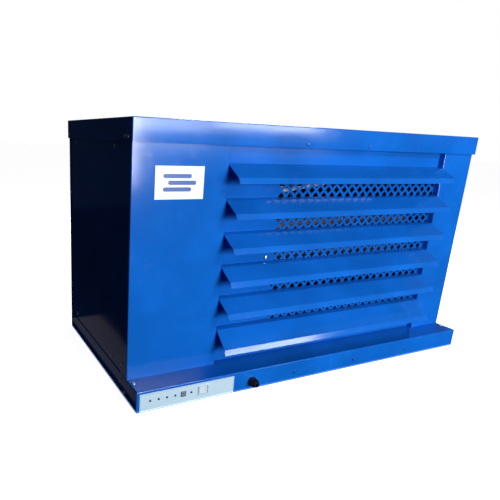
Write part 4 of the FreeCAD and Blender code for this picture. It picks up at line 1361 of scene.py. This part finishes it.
@dataclass
class Controls:
    """Badge, control strip, button, switch and cable gland."""

    badge_edge: float = 0.3 * MILLI
    strip_edge: float = 0.12 * MILLI
    cap_edge: float = 0.7 * MILLI
    frame_edge: float = 0.5 * MILLI
    gland_edge: float = 0.4 * MILLI

    def build(self) -> None:
        """Make the softened copies of the small parts on the front."""
        soften("badge_plate", self.badge_edge, Slot.BADGE_FACE)
        soften("control_strip", self.strip_edge, Slot.STRIP_FACE)
        soften("test_button", self.cap_edge, Slot.BUTTON_CAP, Body.BUTTON)
        soften("switch_housing", self.frame_edge, Slot.SWITCH_HOUSING)
        soften("rocker_switch", self.cap_edge, Slot.SWITCH_ROCKER, Body.ROCKER)
        soften("gland_body", self.gland_edge, Slot.GLAND_NYLON)
        soften("gland_nut", self.frame_edge, Slot.GLAND_NYLON)


# ------------------------------------------------------------------ inside

@dataclass
class CoolingSet:
    """Condenser's fins and tubes, and the fan guard."""

    fin_pitch: float = 2.5 * MILLI
    fin_thick: float = 0.2 * MILLI
    tube_radius: float = 4.5 * MILLI
    tube_rows: int = 16
    tube_pitch: float = 25 * MILLI
    first_tube: float = 12 * MILLI
    guard_rings: int = 12
    guard_wire: float = 1.6 * MILLI
    guard_first: float = 30 * MILLI
    spoke_count: int = 4
    spoke_start: float = 18 * MILLI
    spoke_radius: float = 2 * MILLI
    # radius and height in millimetres
    hub_outline: tuple[Point2, ...] = ((0, 0), (19, 0), (20, 1), (20, 3), (18, 4.5), (0, 5))

    def build(self) -> None:
        """Make the fin stack and the guard."""
        self.condenser()
        low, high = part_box("fan_guard")
        reach = (high.x - low.x) / 2 - self.guard_wire
        middle = middle_of("fan_guard")
        self.rings(reach, Vector((middle.x, high.y - self.guard_wire, middle.z)))
        self.spokes(reach, Vector((middle.x, low.y, middle.z)))

    def condenser(self) -> None:
        """Stack of thin fins with tubes through it."""
        low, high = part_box("condenser_fins")
        wide = high.x - low.x
        fin = block("fin", Vector((low.x, low.y, low.z)),
                    Vector((low.x + self.fin_thick, high.y, high.z)))
        stack = row_of("fin_stack", fin, int(wide / self.fin_pitch) + 1,
                       Vector((self.fin_pitch, 0, 0)), material(Slot.FIN_BLACK))
        install(stack, Slot.FIN_BLACK, stands_for=("condenser_fins",))
        middle = (low.y + high.y) / 2
        tube = drum("tube", Vector((low.x, middle, low.z + self.first_tube)),
                    Vector((1, 0, 0)), self.tube_radius, wide, 16)
        tubes = row_of("fin_tubes", tube, self.tube_rows, Vector((0, 0, self.tube_pitch)),
                       material(Slot.COPPER))
        install(tubes, Slot.COPPER)

    def rings(self, reach: float, centre: Vector) -> None:
        """Wire rings over the fan outlet.

        Args:
            reach: Radius of the last ring.
            centre: Centre of the rings.
        """
        tree = Tree("ringed_guard", {
            "Rings": self.guard_rings, "First": self.guard_first, "Last": reach,
            "Wire": self.guard_wire, "Finish": material(Slot.BLACK_WIRE)})
        sizes = tree.inputs
        step = tree.math("DIVIDE", tree.math("SUBTRACT", sizes["Last"], sizes["First"]),
                         tree.math("SUBTRACT", sizes["Rings"], 1.0))
        index = tree.node("InputIndex")
        radius = tree.math("ADD", tree.math("MULTIPLY", index, step), sizes["First"])
        spots = tree.node("MeshLine", {"mode": "OFFSET"},
                          {"Count": sizes["Rings"], "Offset": Vector((0, 0, 0))})
        circle = tree.node("CurvePrimitiveCircle", None, {"Resolution": 72, "Radius": 1.0})
        size = tree.node("ShaderNodeCombineXYZ", None, {0: radius, 1: radius, 2: 1.0})
        rings = tree.node("InstanceOnPoints", None,
                          {"Points": spots, "Instance": circle, "Scale": size})
        rings = tree.node("RealizeInstances", None, {0: rings})
        profile = tree.node("CurvePrimitiveCircle", None,
                            {"Resolution": 10, "Radius": sizes["Wire"]})
        wires = tree.node("CurveToMesh", None, {"Curve": rings, "Profile Curve": profile})
        wires = tree.node("SetShadeSmooth", None, {0: wires})
        wires = tree.node("Transform", None,
                          {0: wires, "Rotation": TIPPED_UP, "Translation": centre})
        install(tree.run(bare("guard_rings"), wires), Slot.BLACK_WIRE,
                stands_for=("fan_guard",))

    def spokes(self, reach: float, centre: Vector) -> None:
        """Spokes that carry the rings, and the plate in their middle.

        Args:
            reach: Radius at which the spokes end.
            centre: Centre of the plate's front face.
        """
        spokes = []
        for turn in range(self.spoke_count):
            angle = math.radians(45 + 360 * turn / self.spoke_count)
            way = Vector((math.cos(angle), 0, math.sin(angle)))
            start = centre + BACK * self.spoke_radius + way * self.spoke_start
            spokes.append(drum("spoke", start, way, self.spoke_radius,
                               reach - self.spoke_start, 12))
        outline = [(radius * MILLI, height * MILLI) for radius, height in self.hub_outline]
        hub = lathe("guard_hub", outline, centre, BACK, 40)
        install(join("guard_spokes", spokes + [hub]), Slot.BLACK_WIRE)


def join(name: str, pieces: Sequence[bpy.types.Object]) -> bpy.types.Object:
    """One object from several that stay separate shells.

    Args:
        name: Name of the result.
        pieces: Objects, which are removed.

    Returns:
        The object.
    """
    shape = bmesh.new()
    for piece in pieces:
        shape.from_mesh(piece.data)
        bpy.data.objects.remove(piece)
    return from_bmesh(name, shape)


# ------------------------------------------------------------------ studio

@dataclass(frozen=True)
class Lamp:
    """A rectangular soft light, with its size in metres and its power in watts."""

    name: str
    place: Point3
    target: Point3
    size: Point2
    power: float
    colour: Colour = WHITE

    def hang(self) -> None:
        """Put the light in the scene, facing its target."""
        data = bpy.data.lights.new(self.name, "AREA")
        data.shape, (data.size, data.size_y) = "RECTANGLE", self.size
        data.energy, data.color = self.power, self.colour
        light = bpy.data.objects.new(self.name, data)
        light.location = self.place
        facing = Vector(self.target) - Vector(self.place)
        light.rotation_euler = facing.to_track_quat("-Z", "Y").to_euler()
        bpy.context.scene.collection.objects.link(light)


AIM: Point3 = (0.0, -0.2, 0.3)
LAMPS = (Lamp("key", (0.7, -2.5, 1.85), AIM, (0.8, 0.7), 34.0, WARM),
         Lamp("front", (0.12, -3.0, 0.6), AIM, (1.0, 0.8), 66.0, WARM),
         Lamp("window", (0.98, -3.2, 0.74), (0.98, 0.0, 0.74), (0.8, 0.4), 11.0, COOL),
         Lamp("far_window", (2.72, -3.2, 0.63), (2.72, 0.0, 0.63), (0.25, 0.3), 0.35, COOL),
         Lamp("low_window", (1.6, -2.6, 0.75), (0.53, -0.35, 0.75), (0.85, 0.24), 11.0, COOL),
         Lamp("rear_fill", (1.6, 2.4, 1.6), (0.0, 0.0, 0.3), (1.2, 1.2), 80.0),
         Lamp("inside", (0.05, -0.15, 0.555), (0.05, -0.15, 0.0), (0.5, 0.02), 0.05,
              (1.0, 0.98, 0.95)))


@dataclass
class Studio:
    """Camera, lights, floor and the cards that keep reflections dark."""

    lens: float = 34.139
    place: Point3 = (-0.8389, -1.0482, 0.5457)
    turn: Point3 = (74.029, -2.258, -24.989)
    shift: Point2 = (0.18, 0.0506)
    clip: Point2 = (0.05, 50.0)
    floor_half: float = 30.0
    flag_left: float = -1.7
    flag_rear: float = 2.6
    flag_top: float = 3.0

    def build(self) -> None:
        """Set the camera, the lights and the floor."""
        self.camera()
        self.world()
        self.floor()
        self.flags()
        for lamp in LAMPS:
            lamp.hang()
        bpy.context.scene.view_settings.view_transform = "Standard"

    def camera(self) -> None:
        """Camera with a small shift."""
        data = bpy.data.cameras.new("camera")
        data.lens, data.sensor_width = self.lens, 36.0
        data.shift_x, data.shift_y = self.shift
        data.clip_start, data.clip_end = self.clip
        camera = bpy.data.objects.new("camera", data)
        camera.location = self.place
        camera.rotation_euler = [math.radians(angle) for angle in self.turn]
        bpy.context.scene.collection.objects.link(camera)
        bpy.context.scene.camera = camera

    def world(self) -> None:
        """White backdrop for the camera, and a dim even sky for everything else."""
        world = bpy.data.worlds.new("studio")
        bpy.context.scene.world = world
        world.use_nodes = True
        nodes, links = world.node_tree.nodes, world.node_tree.links
        nodes.clear()
        path = nodes.new("ShaderNodeLightPath")
        skies = []
        for colour, strength in (((0.6, 0.75, 1.0), 0.11), (WHITE, 1.0)):
            sky = nodes.new("ShaderNodeBackground")
            sky.inputs[0].default_value = rgba(colour)
            sky.inputs[1].default_value = strength
            skies.append(sky)
        mix, out = nodes.new("ShaderNodeMixShader"), nodes.new("ShaderNodeOutputWorld")
        links.new(path.outputs["Is Camera Ray"], mix.inputs[0])
        links.new(skies[0].outputs[0], mix.inputs[1])
        links.new(skies[1].outputs[0], mix.inputs[2])
        links.new(mix.outputs[0], out.inputs[0])

    def floor(self) -> None:
        """Pale floor that glows a little, so that it stays near white far from the lights."""
        graph = Graph("floor_paper")
        paper = graph.mix(graph.noise(1.2, 2.0).smooth(0.3, 0.7), (0.88, 0.88, 0.88),
                          (0.9, 0.9, 0.9))
        finish = graph.finish({"Base Color": paper, "Roughness": 0.9 + graph.noise(8.0) * 0.1,
                               "Specular IOR Level": 0.0, "Emission Strength": 0.97,
                               "Emission Color": rgba(WHITE)})
        finish.cycles.emission_sampling = "NONE"
        self.card("floor", self.level(0.0), finish, True)

    def level(self, height: float, low: Optional[Point2] = None,
              high: Optional[Point2] = None) -> list[Point3]:
        """Corners of a level card.

        Args:
            height: Its height.
            low: Its nearest left corner, if not the floor's.
            high: Its farthest right corner, if not the floor's.

        Returns:
            The four corners.
        """
        half = self.floor_half
        (left, near), (right, far) = low or (-half, -half), high or (half, half)
        return [(left, near, height), (right, near, height), (right, far, height),
                (left, far, height)]

    def upright(self, start: Point2, end: Point2) -> list[Point3]:
        """Corners of a card that stands between two points of the floor."""
        return [(*start, 0.0), (*end, 0.0), (*end, self.flag_top), (*start, self.flag_top)]

    def card(self, name: str, corners: Sequence[Point3], finish: bpy.types.Material,
             seen: bool) -> None:
        """A flat stage card.

        Args:
            name: Name of the card.
            corners: Its four corners.
            finish: Material.
            seen: Whether the camera sees it; an unseen one casts no shadow either.
        """
        mesh = bpy.data.meshes.new(name)
        mesh.from_pydata(corners, [], [(0, 1, 2, 3)])
        piece = link(name, mesh)
        piece.data.materials.append(finish)
        piece.visible_camera = seen
        piece.visible_shadow = seen

    def flags(self) -> None:
        """Unseen dark cards beside, behind and under the dryer, and a faint one at its left."""
        dusk = self.glow("flag_dusk", (0.005, 0.011, 0.022))
        left, rear = self.flag_left, self.flag_rear
        for name, corners, finish in (
                ("floor_flag", self.level(0.004), self.glow("flag_black", (0.0, 0.0, 0.0))),
                ("left_flag", self.upright((left, -2.0), (left, 3.0)), dusk),
                ("back_flag", self.upright((left, rear), (0.3, rear)), dusk),
                ("floor_glint", self.level(0.005, (-0.6, -0.3), (-0.51, 0.3)),
                 self.glow("glint", (0.09, 0.08, 0.08)))):
            self.card(name, corners, finish, False)

    def glow(self, name: str, colour: Colour) -> bpy.types.Material:
        """Matt black card with a faint glow of one colour."""
        return Graph(name).finish({"Base Color": rgba((0.008, 0.008, 0.01)), "Roughness": 1.0,
                                   "Specular IOR Level": 0.0, "Emission Strength": 1.0,
                                   "Emission Color": rgba(colour)})


def dress_nodes() -> None:
    """Give every CAD node that still shows the material of its record slot."""
    for entry in frame["record"]["subparts"]:
        node = frame["nodes"][entry["node"]]
        finish = material(Slot(entry["material_slot"]))
        if not node.material_slots:
            node.data.materials.append(finish)
        for holder in node.material_slots:
            holder.material = finish
        LOG.info("%s: %s", entry["node"], finish.name)


def main() -> None:
    """Build the studio and then the dryer, piece by piece."""
    logging.basicConfig(level=logging.INFO, format="%(name)s %(message)s")
    Studio().build()
    dress_nodes()
    for part in (Base(), Shell(), LouvreBay(), Fasteners(), Controls(), CoolingSet()):
        part.build()


if __name__ == "__main__":
    main()
